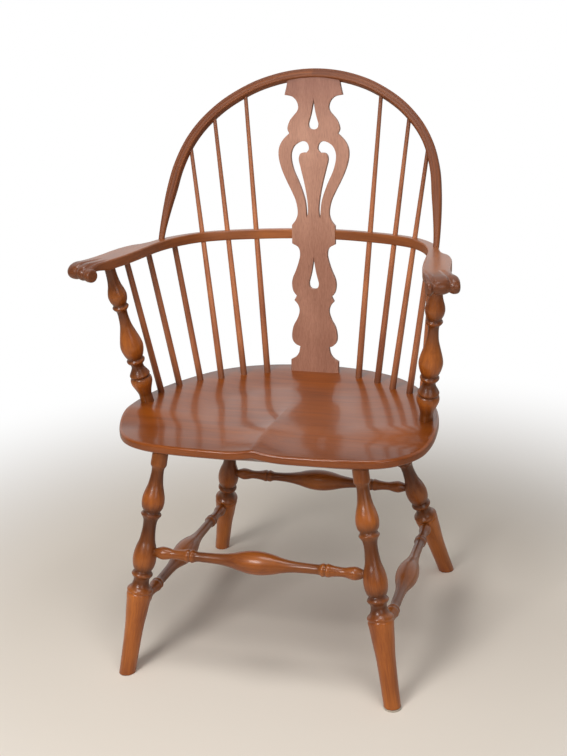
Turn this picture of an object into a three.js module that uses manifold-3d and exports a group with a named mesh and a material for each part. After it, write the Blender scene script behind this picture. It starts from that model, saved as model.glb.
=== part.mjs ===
// Windsor armchair: a bent bow over a bent arm rail, twelve spindles and a pierced back splat.
// Millimetres, +Z up, the front faces -Y and +X is on the viewer's right.
import * as THREE from 'three';
import { ParametricGeometry } from 'three/addons/geometries/ParametricGeometry.js';
import { mergeVertices } from 'three/addons/utils/BufferGeometryUtils.js';
import Module from 'manifold-3d';

const wasm = await Module();
wasm.setup();

// Clearances: the glue line between pieces, and the space under a tenon's end
const glueGap = 0.3;
const socketExtraDepth = 0.8;

// Overruns of cutting tools, and how far a tenon runs back into its own piece
const cutterSize = 900;
const tenonRoot = 6;
const weldTolerance = 0.0001;

// Facets and steps
const legSides = 10;
const stretcherSides = 8;
const spindleSides = 8;
const tenonSides = 8;
const knuckleSides = 10;
const seatSteps = 40;
const bowSteps = 44;
const armSteps = 46;
const handSteps = 26;
const teardropSteps = 9;

// Seat
const seat = {
  halfWidth: 292,
  frontY: -166,
  backY: 273,
  rimHeight: 450,
  thickness: 42,
  edgeHeight: 15,
  edgeRounding: 4,
  edgeDropAtFront: 14,
  undersideInset: 34,
  dishDepth: 9,
  pommelRise: 6,
  pommelHalfWidth: 60,
};

// The seat's right half, front to back: shares of its half width, and of its depth from the front
const seatOutlineShares = [
  [0, 0], [0.31, 0.002], [0.555, 0.01], [0.75, 0.034], [0.865, 0.08], [0.946, 0.155],
  [1, 0.264], [0.997, 0.378], [0.966, 0.492], [0.908, 0.606], [0.8, 0.738], [0.68, 0.843],
  [0.54, 0.916], [0.353, 0.968], [0.171, 0.993], [0, 1],
];
const seatMiddleShare = 0.5;
const seatRingShares = [0.2, 0.4, 0.54, 0.64, 0.72, 0.79, 0.87, 0.95];
const dishFloorShare = 0.6;
const dishRimShare = 0.8;
const dishOpenShares = { from: 0.16, to: 0.34 };
const pommelShares = { full: 0.13, gone: 0.47 };

// Legs: where their axes meet the floor and the seat's underside, as shares of the seat
const frontLeg = { footShares: [0.856, -0.105], topShares: [0.627, 0.071], footTrim: 0 };
const backLeg = { footShares: [0.856, 1.075], topShares: [0.514, 0.784], footTrim: 9 };
const leg = { diameter: 46.5, tenonDiameter: 21, tenonDepth: 25 };

// A leg's turning: shares of the front leg's length from the foot, and of the largest diameter
const legTurningShares = [
  [-0.05, 0.63], [0.143, 0.69], [0.226, 0.75], [0.285, 0.85], [0.337, 0.925], [0.374, 0.98],
  [0.379, 0.945], [0.385, 1], [0.394, 0.97], [0.404, 0.775], [0.416, 0.665], [0.43, 0.61],
  [0.444, 0.635], [0.451, 0.73], [0.461, 0.815], [0.47, 0.785], [0.478, 0.72], [0.49, 0.775],
  [0.511, 0.88], [0.537, 0.915], [0.563, 0.87], [0.587, 0.775], [0.615, 0.625], [0.646, 0.55],
  [0.684, 0.515], [0.708, 0.56], [0.72, 0.665], [0.734, 0.785], [0.751, 0.72], [0.765, 0.815],
  [0.791, 0.88], [0.815, 0.84], [0.839, 0.73], [0.867, 0.59], [0.9, 0.505], [0.929, 0.475],
  [0.943, 0.505], [0.953, 0.61], [0.979, 0.62], [1.12, 0.58],
];

// Stretchers: the heights of their axes, the turned ends and the swelling in the middle
const stretcher = {
  frontHeight: 230,
  backHeight: 211,
  sideHeight: 125,
  diameter: 42,
  endLength: 95,
  swellHalfLength: 66,
  tenonDiameter: 12,
  tenonDepth: 13,
};
const stretcherEndShares = [
  [0, 0.37], [0.05, 0.45], [0.14, 0.56], [0.23, 0.52], [0.34, 0.41], [0.45, 0.41], [0.57, 0.48],
  [0.66, 0.56], [0.7, 0.54], [0.75, 0.56], [0.83, 0.44], [1, 0.43],
];
const stretcherSwellShares = [[-1, 0.49], [-0.7, 0.64], [-0.42, 0.86], [-0.15, 0.99]];

// Arm posts
const post = {
  diameter: 42.5,
  footShares: [0.914, 0.409],
  armShare: 0.834,
  topOutset: 15,
  footTenonDiameter: 16,
  footTenonDepth: 27,
  topTenonDiameter: 12,
  topTenonDepth: 11,
};

// A post's turning: shares of its length from the seat, and of its largest diameter
const postTurningShares = [
  [-0.07, 0.61], [0.029, 0.576], [0.058, 0.565], [0.087, 0.66], [0.116, 0.8], [0.145, 0.93],
  [0.167, 0.953], [0.188, 0.906], [0.196, 0.847], [0.21, 0.894], [0.221, 0.847], [0.239, 0.73],
  [0.257, 0.588], [0.279, 0.541], [0.29, 0.588], [0.301, 0.741], [0.319, 0.788], [0.333, 0.73],
  [0.355, 0.812], [0.391, 0.953], [0.42, 1], [0.449, 0.953], [0.489, 0.824], [0.533, 0.66],
  [0.576, 0.518], [0.627, 0.447], [0.663, 0.435], [0.685, 0.494], [0.696, 0.635], [0.71, 0.694],
  [0.728, 0.635], [0.757, 0.741], [0.79, 0.812], [0.823, 0.741], [0.862, 0.588], [0.906, 0.494],
  [0.949, 0.459], [1.087, 0.447],
];

// Arm rail: a flat bent strip, its top rising a little towards the hands. Its reach is tied to the seat,
// and its rises are from the seat's rim.
const arm = {
  widthShare: 1.027,
  frontShare: 0.091,
  backShare: 0.989,
  riseAtBack: 279.3,
  riseAtFront: 295,
  thickness: 18.5,
  stripWidthAtBack: 15.6,
  stripWidthAtSide: 21.2,
  edgeChamfer: 2,
};

// The rail's middle line, back to front: shares of its half width, and of its depth from the front
const armPlanShares = [
  [0, 1], [0.193, 0.988], [0.377, 0.953], [0.55, 0.905], [0.702, 0.833], [0.797, 0.743], [0.857, 0.645],
  [0.887, 0.553], [0.903, 0.452], [0.918, 0.345], [0.94, 0.231], [0.973, 0.129], [1.013, 0.041], [1.037, 0],
];
const armWidensShares = { from: 0.865, to: 0.624 };

// The widened hand outside the rail, in the same shares
const handOutlineShares = [
  [0.873, 0.584], [0.92, 0.563], [0.957, 0.523], [1, 0.49], [1.03, 0.439], [1.05, 0.376],
  [1.063, 0.269], [1.077, 0.18], [1.11, 0.119], [1.153, 0.096], [1.173, 0.066], [1.133, 0.01],
  [1, -0.036], [0.933, 0.01], [0.9, 0.142],
];

// Carved knuckles: a scroll with three fingers, and grooves that run back over the hand
const knuckle = {
  innerShares: [0.975, 0.033],
  outerShares: [1.147, 0.096],
  radius: 15,
  fingerRounding: 4.5,
  grooveLength: 52,
  grooveWidth: 5,
  grooveDepth: 2.8,
};
const fingerWidthShares = [0.27, 0.42, 0.31];

// Bow: its width is a share of the rail's. Its plane leans back between two shares of the seat's depth,
// and its ends taper into the rail.
const bow = {
  widthShare: 0.873,
  rise: 293,
  footBelowRailTop: 4.3,
  footShare: 0.663,
  topShare: 1.064,
  sectionWidth: 17.6,
  sectionDepth: 17,
  edgeChamfer: 3,
  taperLength: 120,
  tenonDiameter: 9,
  tenonDepth: 12,
};
const bowEndShare = 0.62;

// The bow's right half, foot to top: shares of its half width and of its rise
const bowPlanShares = [
  [0.994, 0], [1, 0.068], [0.992, 0.188], [0.973, 0.321], [0.947, 0.45], [0.891, 0.584], [0.819, 0.683],
  [0.733, 0.763], [0.641, 0.828], [0.515, 0.893], [0.38, 0.944], [0.191, 0.986], [0, 1],
];

// Long spindles run from the bow through the middle of the rail to the seat. Short ones stand in the seat
// and end in the rail. Places are shares of half the bow, of half the rail and of the seat.
const longSpindles = [
  { bowShare: 0.283, armShare: 0.201 },
  { bowShare: 0.431, armShare: 0.298 },
  { bowShare: 0.576, armShare: 0.385 },
];
const shortSpindles = [
  { footShares: [0.717, 0.708], armShare: 0.498 },
  { footShares: [0.822, 0.629], armShare: 0.637 },
  { footShares: [0.89, 0.528], armShare: 0.776 },
];
const spindle = {
  diameter: 12.6,
  footTenonDiameter: 9,
  footTenonDepth: 17,
  armTenonDiameter: 7,
  armTenonDepth: 11,
  bowTenonDiameter: 5.6,
};
const longSpindleShares = [[0, 1], [0.15, 0.97], [0.35, 0.88], [0.55, 0.78], [0.8, 0.65], [1, 0.58]];
const shortSpindleShares = [[0, 1], [0.5, 0.93], [1, 0.84]];

// Splat: a board that stands in the seat, passes the rail's front face, and bends back there to the bow
const splat = {
  halfWidth: 69.5,
  thickness: 9,
  footShare: 0.916,
  waistMargin: 8.5,
  tenonHalfWidth: 37,
  tenonThickness: 5,
  footTenonDepth: 12,
  topTenonDepth: 6,
};

// The splat's drawing is in shares of its half width and of its height. These say where its straight waist
// passes the rail, and where it meets the bow.
const splatWaistShare = 0.62;
const splatLevelShares = { waistLow: 0.456, waistHigh: 0.52, bow: 1.01 };

// The splat's right edge in stretches, each a line or a curve between two sharp corners
const splatEdgeShares = [
  [[0.697, 0], [0.697, 0.039]],
  [[0.697, 0.039], [0.563, 0.049], [0.465, 0.065], [0.423, 0.089]],
  [[0.423, 0.089], [0.542, 0.095], [0.641, 0.11], [0.662, 0.128], [0.613, 0.162], [0.486, 0.192],
    [0.43, 0.219], [0.472, 0.239], [0.578, 0.255]],
  [[0.578, 0.255], [0.507, 0.271]],
  [[0.507, 0.271], [0.599, 0.286], [0.641, 0.311], [0.613, 0.335], [0.527, 0.36], [0.437, 0.392],
    [0.394, 0.419], [0.437, 0.442], [0.62, 0.456]],
  [[0.62, 0.456], [0.62, 0.52]],
  [[0.62, 0.52], [0.507, 0.538], [0.451, 0.561], [0.5, 0.601], [0.62, 0.635], [0.761, 0.669],
    [0.887, 0.703], [0.972, 0.736], [1, 0.763], [0.972, 0.786], [0.873, 0.808], [0.69, 0.83]],
  [[0.69, 0.83], [0.739, 0.845], [0.676, 0.871], [0.563, 0.889], [0.465, 0.903], [0.43, 0.917],
    [0.479, 0.937], [0.599, 0.951], [0.817, 0.957]],
  [[0.817, 0.957], [0.746, 0.995], [0.732, 1.029]],
];
const teardropShares = [{ apex: 0.937, foot: 0.838 }, { apex: 0.408, foot: 0.297 }];
const teardropWidthShare = 0.135;
const teardropOutlineShares = [
  [0, 0], [0.17, 0.195], [0.45, 0.455], [0.83, 0.7], [1, 0.813], [0.94, 0.9], [0.6, 0.976], [0, 1],
];
const scrollOutlineShares = [
  [0.155, 0.55], [0.162, 0.59], [0.249, 0.629], [0.403, 0.669], [0.527, 0.71], [0.597, 0.748],
  [0.583, 0.77], [0.486, 0.786], [0.338, 0.8], [0.211, 0.8], [0.134, 0.79], [0.127, 0.775],
  [0.197, 0.766], [0.303, 0.766], [0.389, 0.755], [0.417, 0.737], [0.375, 0.71], [0.292, 0.673],
  [0.166, 0.631], [0.113, 0.59], [0.124, 0.565],
];

// Pale disc under the front right foot
const footDisc = { thickness: 3, diameter: 33 };

// Finish of the stained wood, piece by piece
const colours = {
  leg: '#8d4e27',
  stretcher: '#80482b',
  seat: '#9a5f42',
  post: '#8a4b2a',
  arm: '#80452b',
  bow: '#8a5238',
  splat: '#a86f55',
  spindle: '#995a41',
  disc: '#c9bfb0',
};
const glossyRoughness = 0.25;
const satinRoughness = 0.4;
const feltRoughness = 0.9;

// Solids from closed geometries, and back
function solidOf(geometry) {
  const bare = geometry.clone();
  bare.deleteAttribute('normal');
  bare.deleteAttribute('uv');
  const merged = mergeVertices(bare, weldTolerance);
  const index = merged.index.array;
  const kept = [];
  for (let i = 0; i < index.length; i += 3) {
    const [a, b, c] = [index[i], index[i + 1], index[i + 2]];
    if (a !== b && b !== c && c !== a) kept.push(a, b, c);
  }
  const solid = closedMesh(merged, kept);
  return solid.volume() > 0 ? solid : closedMesh(merged, insideOut(kept));
}

// Points that rounding has kept apart along a seam are merged here
function closedMesh(merged, triangles) {
  const mesh = new wasm.Mesh({
    numProp: 3,
    vertProperties: new Float32Array(merged.attributes.position.array),
    triVerts: new Uint32Array(triangles),
  });
  mesh.merge();
  return new wasm.Manifold(mesh);
}

function insideOut(triangles) {
  const turned = [];
  for (let i = 0; i < triangles.length; i += 3) turned.push(triangles[i + 1], triangles[i], triangles[i + 2]);
  return turned;
}

function geometryOf(solid) {
  const mesh = solid.getMesh();
  const geometry = new THREE.BufferGeometry();
  geometry.setAttribute('position', new THREE.BufferAttribute(new Float32Array(mesh.vertProperties), 3));
  geometry.setIndex(new THREE.BufferAttribute(new Uint32Array(mesh.triVerts), 1));
  const faceted = geometry.toNonIndexed();
  faceted.computeVertexNormals();
  return faceted;
}

function largestPiece(solid) {
  return solid.decompose().sort((p, q) => q.volume() - p.volume())[0];
}

// A surface through rings of points, each end ring drawn to its middle
function loftedSolid(rings) {
  const sides = rings[0].length;
  const middleOf = (ring) => {
    const sum = ring.reduce((total, point) => total.add(point), new THREE.Vector3());
    return sum.divideScalar(ring.length);
  };
  const last = rings[rings.length - 1];
  const rows = [rings[0].map(() => middleOf(rings[0])), ...rings, last.map(() => middleOf(last))];
  const rowCount = rows.length - 1;
  const place = (u, v, target) => {
    const row = rows[Math.round(v * rowCount)];
    target.copy(row[Math.round(u * sides) % sides]);
  };
  return solidOf(new ParametricGeometry(place, sides, rowCount));
}

// Turned work, along an axis between two points
function turned(stations, sides, from, to) {
  const profile = stations.map(([along, diameter]) => new THREE.Vector2(diameter / 2, along));
  const start = new THREE.Vector2(0, profile[0].y);
  const end = new THREE.Vector2(0, profile[profile.length - 1].y);
  const geometry = new THREE.LatheGeometry([start, ...profile, end], sides);
  const direction = to.clone().sub(from).normalize();
  geometry.applyQuaternion(new THREE.Quaternion().setFromUnitVectors(new THREE.Vector3(0, 1, 0), direction));
  geometry.translate(from.x, from.y, from.z);
  return solidOf(geometry);
}

function stationsFrom(shares, length, diameter, extra = 0) {
  return shares.map(([along, across]) => [along * length, across * diameter + extra]);
}

// A round tenon along a direction, from one distance to another
function tenon(diameter, point, direction, start, end) {
  const from = point.clone().addScaledVector(direction, start);
  const to = point.clone().addScaledVector(direction, end);
  return turned([[0, diameter], [from.distanceTo(to), diameter]], tenonSides, from, to);
}

// A tenon's allowance is zero for the tenon itself and twice the glue gap for its socket
const socketAllowance = 2 * glueGap;

function depthWith(depth, allowance) {
  return allowance > 0 ? depth + socketExtraDepth : depth;
}

// Half-spaces to cut with
function halfSpace(height, upwards, tilt = 0, pivotY = 0) {
  const geometry = new THREE.BoxGeometry(cutterSize, cutterSize, cutterSize);
  geometry.translate(0, 0, upwards ? cutterSize / 2 : -cutterSize / 2);
  geometry.rotateX(tilt);
  geometry.translate(0, pivotY, height);
  return solidOf(geometry);
}

// A half outline and its mirror image as one loop or line
function withMirror(half) {
  const other = half.slice(0, -1).map(([x, y]) => [-x, y]).reverse();
  return [...half, ...other];
}

function sideName(side) {
  return side < 0 ? 'left' : 'right';
}

// Seat
const seatDepth = seat.backY - seat.frontY;
const undersideHeight = seat.rimHeight - seat.thickness;

function seatPlace([acrossShare, depthShare], height, side = 1) {
  const x = side * acrossShare * seat.halfWidth;
  return new THREE.Vector3(x, seat.frontY + depthShare * seatDepth, height);
}

const seatLoop = new THREE.SplineCurve(withMirror(seatOutlineShares).map((shares) => {
  const point = seatPlace(shares, 0);
  return new THREE.Vector2(point.x, point.y);
}));

function seatTopHeight(x, y, ringShare) {
  const depthShare = (y - seat.frontY) / seatDepth;
  const open = 1 - THREE.MathUtils.smoothstep(depthShare, dishOpenShares.from, dishOpenShares.to);
  const hollow = 1 - THREE.MathUtils.smoothstep(ringShare, dishFloorShare, dishRimShare);
  const front = 1 - THREE.MathUtils.smoothstep(depthShare, pommelShares.full, pommelShares.gone);
  const ridge = Math.max(0, 1 - Math.abs(x) / seat.pommelHalfWidth) ** 2;
  const dish = seat.dishDepth * THREE.MathUtils.lerp(hollow, 1, open);
  const drop = (seat.edgeDropAtFront - seat.dishDepth) * open * ringShare ** 4;
  return seat.rimHeight - dish - drop + seat.pommelRise * ridge * front;
}

function seatRing(ringShare, inset, heightOf) {
  const centre = seatPlace([0, seatMiddleShare], 0);
  return seatLoop.getSpacedPoints(seatSteps).slice(0, seatSteps).map((point) => {
    const outward = new THREE.Vector3(point.x, point.y, 0).sub(centre);
    const reach = outward.length();
    const place = centre.clone().addScaledVector(outward, ringShare * (reach - inset) / reach);
    return place.setZ(heightOf(place.x, place.y));
  });
}

function seatPlank() {
  const top = (ringShare, lowered) => (x, y) => seatTopHeight(x, y, ringShare) - lowered;
  return loftedSolid([
    ...seatRingShares.map((share) => seatRing(share, 0, top(share, 0))),
    seatRing(1, seat.edgeRounding, top(1, 0)),
    seatRing(1, seat.edgeRounding / 3, top(1, seat.edgeRounding / 3)),
    seatRing(1, 0, top(1, seat.edgeRounding)),
    seatRing(1, 0, top(1, seat.edgeHeight)),
    seatRing(1, seat.undersideInset, () => undersideHeight),
  ]);
}

const plank = seatPlank();
const plankWithGap = plank.add(plank.translate([0, 0, -glueGap]));

// Legs
const legPlaces = [
  { name: 'leg_front_left', side: -1, at: frontLeg, lift: 0 },
  { name: 'leg_front_right', side: 1, at: frontLeg, lift: footDisc.thickness + glueGap },
  { name: 'leg_back_left', side: -1, at: backLeg, lift: 0 },
  { name: 'leg_back_right', side: 1, at: backLeg, lift: 0 },
];
const [frontLeft, frontRight, backLeft, backRight] = legPlaces;

function legAxis({ side, at }) {
  const foot = seatPlace(at.footShares, 0, side);
  const top = seatPlace(at.topShares, undersideHeight, side);
  return { foot, top, direction: top.clone().sub(foot).normalize() };
}

const turningLength = legAxis(frontRight).foot.distanceTo(legAxis(frontRight).top);
const legTurning = stationsFrom(legTurningShares, turningLength, leg.diameter);

function legBody(place, allowance) {
  const { foot, top } = legAxis(place);
  const stations = legTurning.map(([along, diameter]) => [along - place.at.footTrim, diameter + allowance]);
  return turned(stations, legSides, foot, top);
}

function legTenon(place, allowance) {
  const { top, direction } = legAxis(place);
  const depth = depthWith(leg.tenonDepth, allowance);
  return tenon(leg.tenonDiameter + allowance, top, direction, -tenonRoot, depth);
}

function legRadiusAt(along) {
  const next = legTurning.findIndex(([station]) => station > along);
  const [a, b] = [legTurning[next - 1], legTurning[next]];
  return THREE.MathUtils.mapLinear(along, a[0], b[0], a[1], b[1]) / 2;
}

function legSolid(place) {
  const turnedLeg = legBody(place, 0).subtract(halfSpace(place.lift, false)).subtract(plankWithGap);
  let solid = largestPiece(turnedLeg).add(legTenon(place, 0));
  for (const rung of stretchers.filter(({ legs }) => legs.includes(place))) {
    solid = solid.subtract(stretcherTenon(rung, rung.legs.indexOf(place), socketAllowance));
  }
  return solid;
}

function footDiscSolid() {
  const { foot } = legAxis(frontRight);
  const top = foot.clone().setZ(footDisc.thickness);
  return turned([[0, footDisc.diameter], [footDisc.thickness, footDisc.diameter]], legSides, foot, top);
}

// Stretchers
function stretcherBetween(name, firstLeg, secondLeg, height) {
  const pointOn = (place) => {
    const { foot, top } = legAxis(place);
    return foot.clone().lerp(top, height / undersideHeight);
  };
  return { name, legs: [firstLeg, secondLeg], ends: [pointOn(firstLeg), pointOn(secondLeg)] };
}

const stretchers = [
  stretcherBetween('stretcher_front', frontLeft, frontRight, stretcher.frontHeight),
  stretcherBetween('stretcher_back', backLeft, backRight, stretcher.backHeight),
  stretcherBetween('stretcher_left', frontLeft, backLeft, stretcher.sideHeight),
  stretcherBetween('stretcher_right', frontRight, backRight, stretcher.sideHeight),
];

function stretcherInset({ legs, ends }, end) {
  const { foot } = legAxis(legs[end]);
  return legRadiusAt(foot.distanceTo(ends[end]) + legs[end].at.footTrim);
}

function stretcherTenon(rung, end, allowance) {
  const inset = stretcherInset(rung, end);
  const direction = rung.ends[1 - end].clone().sub(rung.ends[end]).normalize();
  const start = inset - depthWith(stretcher.tenonDepth, allowance);
  const diameter = stretcher.tenonDiameter + allowance;
  return tenon(diameter, rung.ends[end], direction, start, inset + tenonRoot);
}

function stretcherSolid(rung) {
  const length = rung.ends[0].distanceTo(rung.ends[1]);
  const [near, far] = [stretcherInset(rung, 0), length - stretcherInset(rung, 1)];
  const middle = (near + far) / 2;
  const turnedEnd = stationsFrom(stretcherEndShares, stretcher.endLength, stretcher.diameter);
  const swell = stationsFrom(stretcherSwellShares, stretcher.swellHalfLength, stretcher.diameter);
  const stations = [
    [0, turnedEnd[0][1]],
    ...turnedEnd.map(([along, diameter]) => [near + along, diameter]),
    ...swell.map(([along, diameter]) => [middle + along, diameter]),
    ...swell.map(([along, diameter]) => [middle - along, diameter]).reverse(),
    ...turnedEnd.map(([along, diameter]) => [far - along, diameter]).reverse(),
    [length, turnedEnd[0][1]],
  ];
  let body = turned(stations, stretcherSides, ...rung.ends);
  for (const place of rung.legs) body = body.subtract(legBody(place, socketAllowance));
  return largestPiece(body).add(stretcherTenon(rung, 0, 0)).add(stretcherTenon(rung, 1, 0));
}

// Arm rail
const armHalfWidth = arm.widthShare * seat.halfWidth;
const armFrontY = seat.frontY + arm.frontShare * seatDepth;
const armBackY = seat.frontY + arm.backShare * seatDepth;
const armBackHeight = seat.rimHeight + arm.riseAtBack;
const armDepth = armBackY - armFrontY;
const armSlope = (arm.riseAtFront - arm.riseAtBack) / armDepth;
const armTilt = -Math.atan(armSlope);

function armPlace([acrossShare, depthShare], side = 1) {
  return new THREE.Vector3(side * acrossShare * armHalfWidth, armFrontY + depthShare * armDepth, 0);
}

function armTopHeight(y) {
  return armBackHeight + armSlope * (armBackY - y);
}

function armHalfSpace(offset, upwards) {
  return halfSpace(armBackHeight + offset, upwards, armTilt, armBackY);
}

const railLine = new THREE.CatmullRomCurve3(
  withMirror([...armPlanShares].reverse()).map((shares) => armPlace(shares)),
  false,
  'centripetal',
);
const halfShare = 0.5;

function railPoint(share, side) {
  const point = railLine.getPointAt(halfShare - halfShare * share);
  return new THREE.Vector3(side * Math.abs(point.x), point.y, armTopHeight(point.y) - arm.thickness);
}

function railBand(widthAllowance, heightAllowance) {
  const chamfer = arm.edgeChamfer;
  const rings = [];
  for (let step = 0; step <= armSteps; step += 1) {
    const middle = railLine.getPointAt(step / armSteps);
    const tangent = railLine.getTangentAt(step / armSteps);
    const across = new THREE.Vector3(tangent.y, -tangent.x, 0);
    const depthShare = (middle.y - armFrontY) / armDepth;
    const widening = 1 - THREE.MathUtils.smoothstep(depthShare, armWidensShares.to, armWidensShares.from);
    const width = THREE.MathUtils.lerp(arm.stripWidthAtBack, arm.stripWidthAtSide, widening);
    const half = width / 2 + widthAllowance;
    const [low, high] = [-arm.thickness - heightAllowance, heightAllowance];
    const corners = [
      [-half + chamfer, low], [half - chamfer, low], [half, low + chamfer], [half, high - chamfer],
      [half - chamfer, high], [-half + chamfer, high], [-half, high - chamfer], [-half, low + chamfer],
    ];
    rings.push(corners.map(([side, up]) => {
      const corner = middle.clone().addScaledVector(across, side);
      return corner.setZ(armTopHeight(corner.y) + up);
    }));
  }
  return loftedSolid(rings);
}

// Hands and their carved knuckles
function handSlab(side) {
  const outline = new THREE.SplineCurve(handOutlineShares.map((shares) => {
    const point = armPlace(shares, side);
    return new THREE.Vector2(point.x, point.y - armBackY);
  }));
  const geometry = new THREE.ExtrudeGeometry(new THREE.Shape(outline.getPoints(handSteps)), {
    depth: arm.thickness - 2 * arm.edgeChamfer,
    bevelThickness: arm.edgeChamfer,
    bevelSize: arm.edgeChamfer,
    bevelOffset: -arm.edgeChamfer,
    bevelSegments: 1,
  });
  geometry.translate(0, 0, arm.edgeChamfer - arm.thickness);
  geometry.rotateX(armTilt);
  geometry.translate(0, armBackY, armBackHeight);
  return solidOf(geometry);
}

function knuckleAxis(side) {
  const inner = armPlace(knuckle.innerShares, side);
  const outer = armPlace(knuckle.outerShares, side);
  inner.setZ(armTopHeight(inner.y) - knuckle.radius);
  outer.setZ(armTopHeight(outer.y) - knuckle.radius);
  const along = outer.clone().sub(inner);
  const turn = Math.atan2(side * along.y, side * along.x);
  return { inner, outer, turn, length: along.length(), along: along.normalize() };
}

function aheadOfKnuckle(side) {
  const { inner, turn } = knuckleAxis(side);
  const geometry = new THREE.BoxGeometry(cutterSize, cutterSize, cutterSize);
  geometry.translate(0, -cutterSize / 2, 0);
  geometry.rotateZ(turn);
  geometry.translate(inner.x, inner.y, inner.z);
  return solidOf(geometry);
}

function knuckleFingers(side) {
  const { inner, outer, length } = knuckleAxis(side);
  const { radius, fingerRounding: round } = knuckle;
  const fingers = [];
  let start = 0;
  for (const share of fingerWidthShares) {
    const end = start + share * length;
    const stations = [
      [start, 2 * (radius - round)], [start + round, 2 * radius],
      [end - round, 2 * radius], [end, 2 * (radius - round)],
    ];
    fingers.push(turned(stations, knuckleSides, inner, outer));
    start = end;
  }
  return fingers;
}

function knuckleGrooves(side) {
  const { inner, turn, length, along } = knuckleAxis(side);
  const grooves = [];
  let start = 0;
  for (const share of fingerWidthShares.slice(0, -1)) {
    start += share * length;
    const geometry = new THREE.SphereGeometry(1, tenonSides, tenonSides);
    geometry.scale(knuckle.grooveWidth / 2, knuckle.grooveLength / 2, knuckle.grooveDepth);
    geometry.rotateZ(turn);
    const place = inner.clone().addScaledVector(along, start);
    geometry.translate(place.x, place.y, place.z + knuckle.radius);
    grooves.push(solidOf(geometry));
  }
  return grooves;
}

// One side's hand and knuckles, before they are parted from the rail along the glue lines
function carvedHand(side) {
  let carved = handSlab(side).subtract(aheadOfKnuckle(side));
  for (const finger of knuckleFingers(side)) carved = carved.add(finger);
  for (const groove of knuckleGrooves(side)) carved = carved.subtract(groove);
  return carved;
}

function parted(solid, side) {
  const railWithGap = railBand(glueGap, 2 * tenonRoot);
  return solid.subtract(railWithGap).subtract(armHalfSpace(-arm.thickness, false));
}

// Bow's middle line
const bowHalfWidth = bow.widthShare * armHalfWidth;
const bowFootY = seat.frontY + bow.footShare * seatDepth;
const bowTopY = seat.frontY + bow.topShare * seatDepth;
const bowFootHeight = armBackHeight - bow.footBelowRailTop;
const bowBackward = new THREE.Vector3(0, bow.rise, bowFootY - bowTopY).normalize();

function bowPlace([acrossShare, heightShare]) {
  const y = THREE.MathUtils.lerp(bowFootY, bowTopY, heightShare);
  return new THREE.Vector3(acrossShare * bowHalfWidth, y, bowFootHeight + heightShare * bow.rise);
}

const bowLine = new THREE.CatmullRomCurve3(
  withMirror(bowPlanShares).map((shares) => bowPlace(shares)),
  false,
  'centripetal',
);

function bowPoint(share, side) {
  const point = bowLine.getPointAt(halfShare - halfShare * share);
  return new THREE.Vector3(side * Math.abs(point.x), point.y, point.z);
}

function bowOutward(share) {
  return new THREE.Vector3().crossVectors(bowBackward, bowLine.getTangentAt(share)).normalize();
}

// Splat: its heights are along the board, from the seat
const splatFoot = seatPlace([0, splat.footShare], seat.rimHeight);
const railFrontY = armBackY - arm.stripWidthAtBack / 2;
const splatLean = Math.atan2(railFrontY - splatFoot.y, arm.riseAtBack - arm.thickness / 2);
const waistLow = (arm.riseAtBack - arm.thickness - splat.waistMargin) / Math.cos(splatLean);
const waistHigh = (arm.riseAtBack + splat.waistMargin) / Math.cos(splatLean);
const splatBend = splatFoot.clone()
  .add(new THREE.Vector3(0, Math.sin(splatLean), Math.cos(splatLean)).multiplyScalar(waistHigh));
const underBow = bowPoint(0, 1).addScaledVector(bowOutward(halfShare), -bow.sectionWidth / 2);
const upperBoard = underBow.clone().sub(splatBend);
const splatBendAngle = Math.atan2(upperBoard.y, upperBoard.z) - splatLean;
const splatLength = waistHigh + upperBoard.length();

function splatHeight(share) {
  const levels = splatLevelShares;
  if (share < levels.waistLow) return THREE.MathUtils.mapLinear(share, 0, levels.waistLow, 0, waistLow);
  if (share < levels.waistHigh) {
    return THREE.MathUtils.mapLinear(share, levels.waistLow, levels.waistHigh, waistLow, waistHigh);
  }
  return THREE.MathUtils.mapLinear(share, levels.waistHigh, levels.bow, waistHigh, splatLength);
}

// Stands the drawn board up, with its part above the rail bent back about the front face
function placedPlate(geometry) {
  const frontFace = splat.thickness / 2;
  const [upper, lower] = solidOf(geometry).splitByPlane([0, 1, 0], waistHigh);
  const bentBack = upper
    .translate([0, -waistHigh, -frontFace])
    .rotate([THREE.MathUtils.radToDeg(-splatBendAngle), 0, 0])
    .translate([0, waistHigh, frontFace]);
  const upright = THREE.MathUtils.radToDeg(Math.PI / 2 - splatLean);
  return lower.add(bentBack).rotate([upright, 0, 0]).translate(splatFoot.toArray());
}

function splatPoint([acrossShare, heightShare], side = 1) {
  return new THREE.Vector2(side * acrossShare * splat.halfWidth, splatHeight(heightShare));
}

function splatEdge() {
  const edge = [splatPoint(splatEdgeShares[0][0])];
  for (const stretch of splatEdgeShares) {
    const points = stretch.map((shares) => splatPoint(shares));
    const steps = points.length > 2 ? 2 * (points.length - 1) : 1;
    edge.push(...new THREE.SplineCurve(points).getPoints(steps).slice(1));
  }
  return edge;
}

function teardropHole({ apex, foot }) {
  const half = new THREE.SplineCurve(teardropOutlineShares.map(([across, along]) => {
    const height = THREE.MathUtils.lerp(splatHeight(apex), splatHeight(foot), along);
    return new THREE.Vector2(across * teardropWidthShare * splat.halfWidth, height);
  })).getPoints(teardropSteps);
  const other = half.slice(1, -1).map((point) => new THREE.Vector2(-point.x, point.y)).reverse();
  return new THREE.Path([...half, ...other]);
}

function scrollHole(side) {
  return new THREE.Path(scrollOutlineShares.map((shares) => splatPoint(shares, side)));
}

function splatPlate() {
  const edge = splatEdge();
  const other = edge.map((point) => new THREE.Vector2(-point.x, point.y)).reverse();
  const shape = new THREE.Shape([...edge, ...other]);
  shape.holes.push(...teardropShares.map(teardropHole), scrollHole(-1), scrollHole(1));
  const geometry = new THREE.ExtrudeGeometry(shape, { depth: splat.thickness, bevelEnabled: false });
  geometry.translate(0, 0, -splat.thickness / 2);
  return placedPlate(geometry);
}

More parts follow.
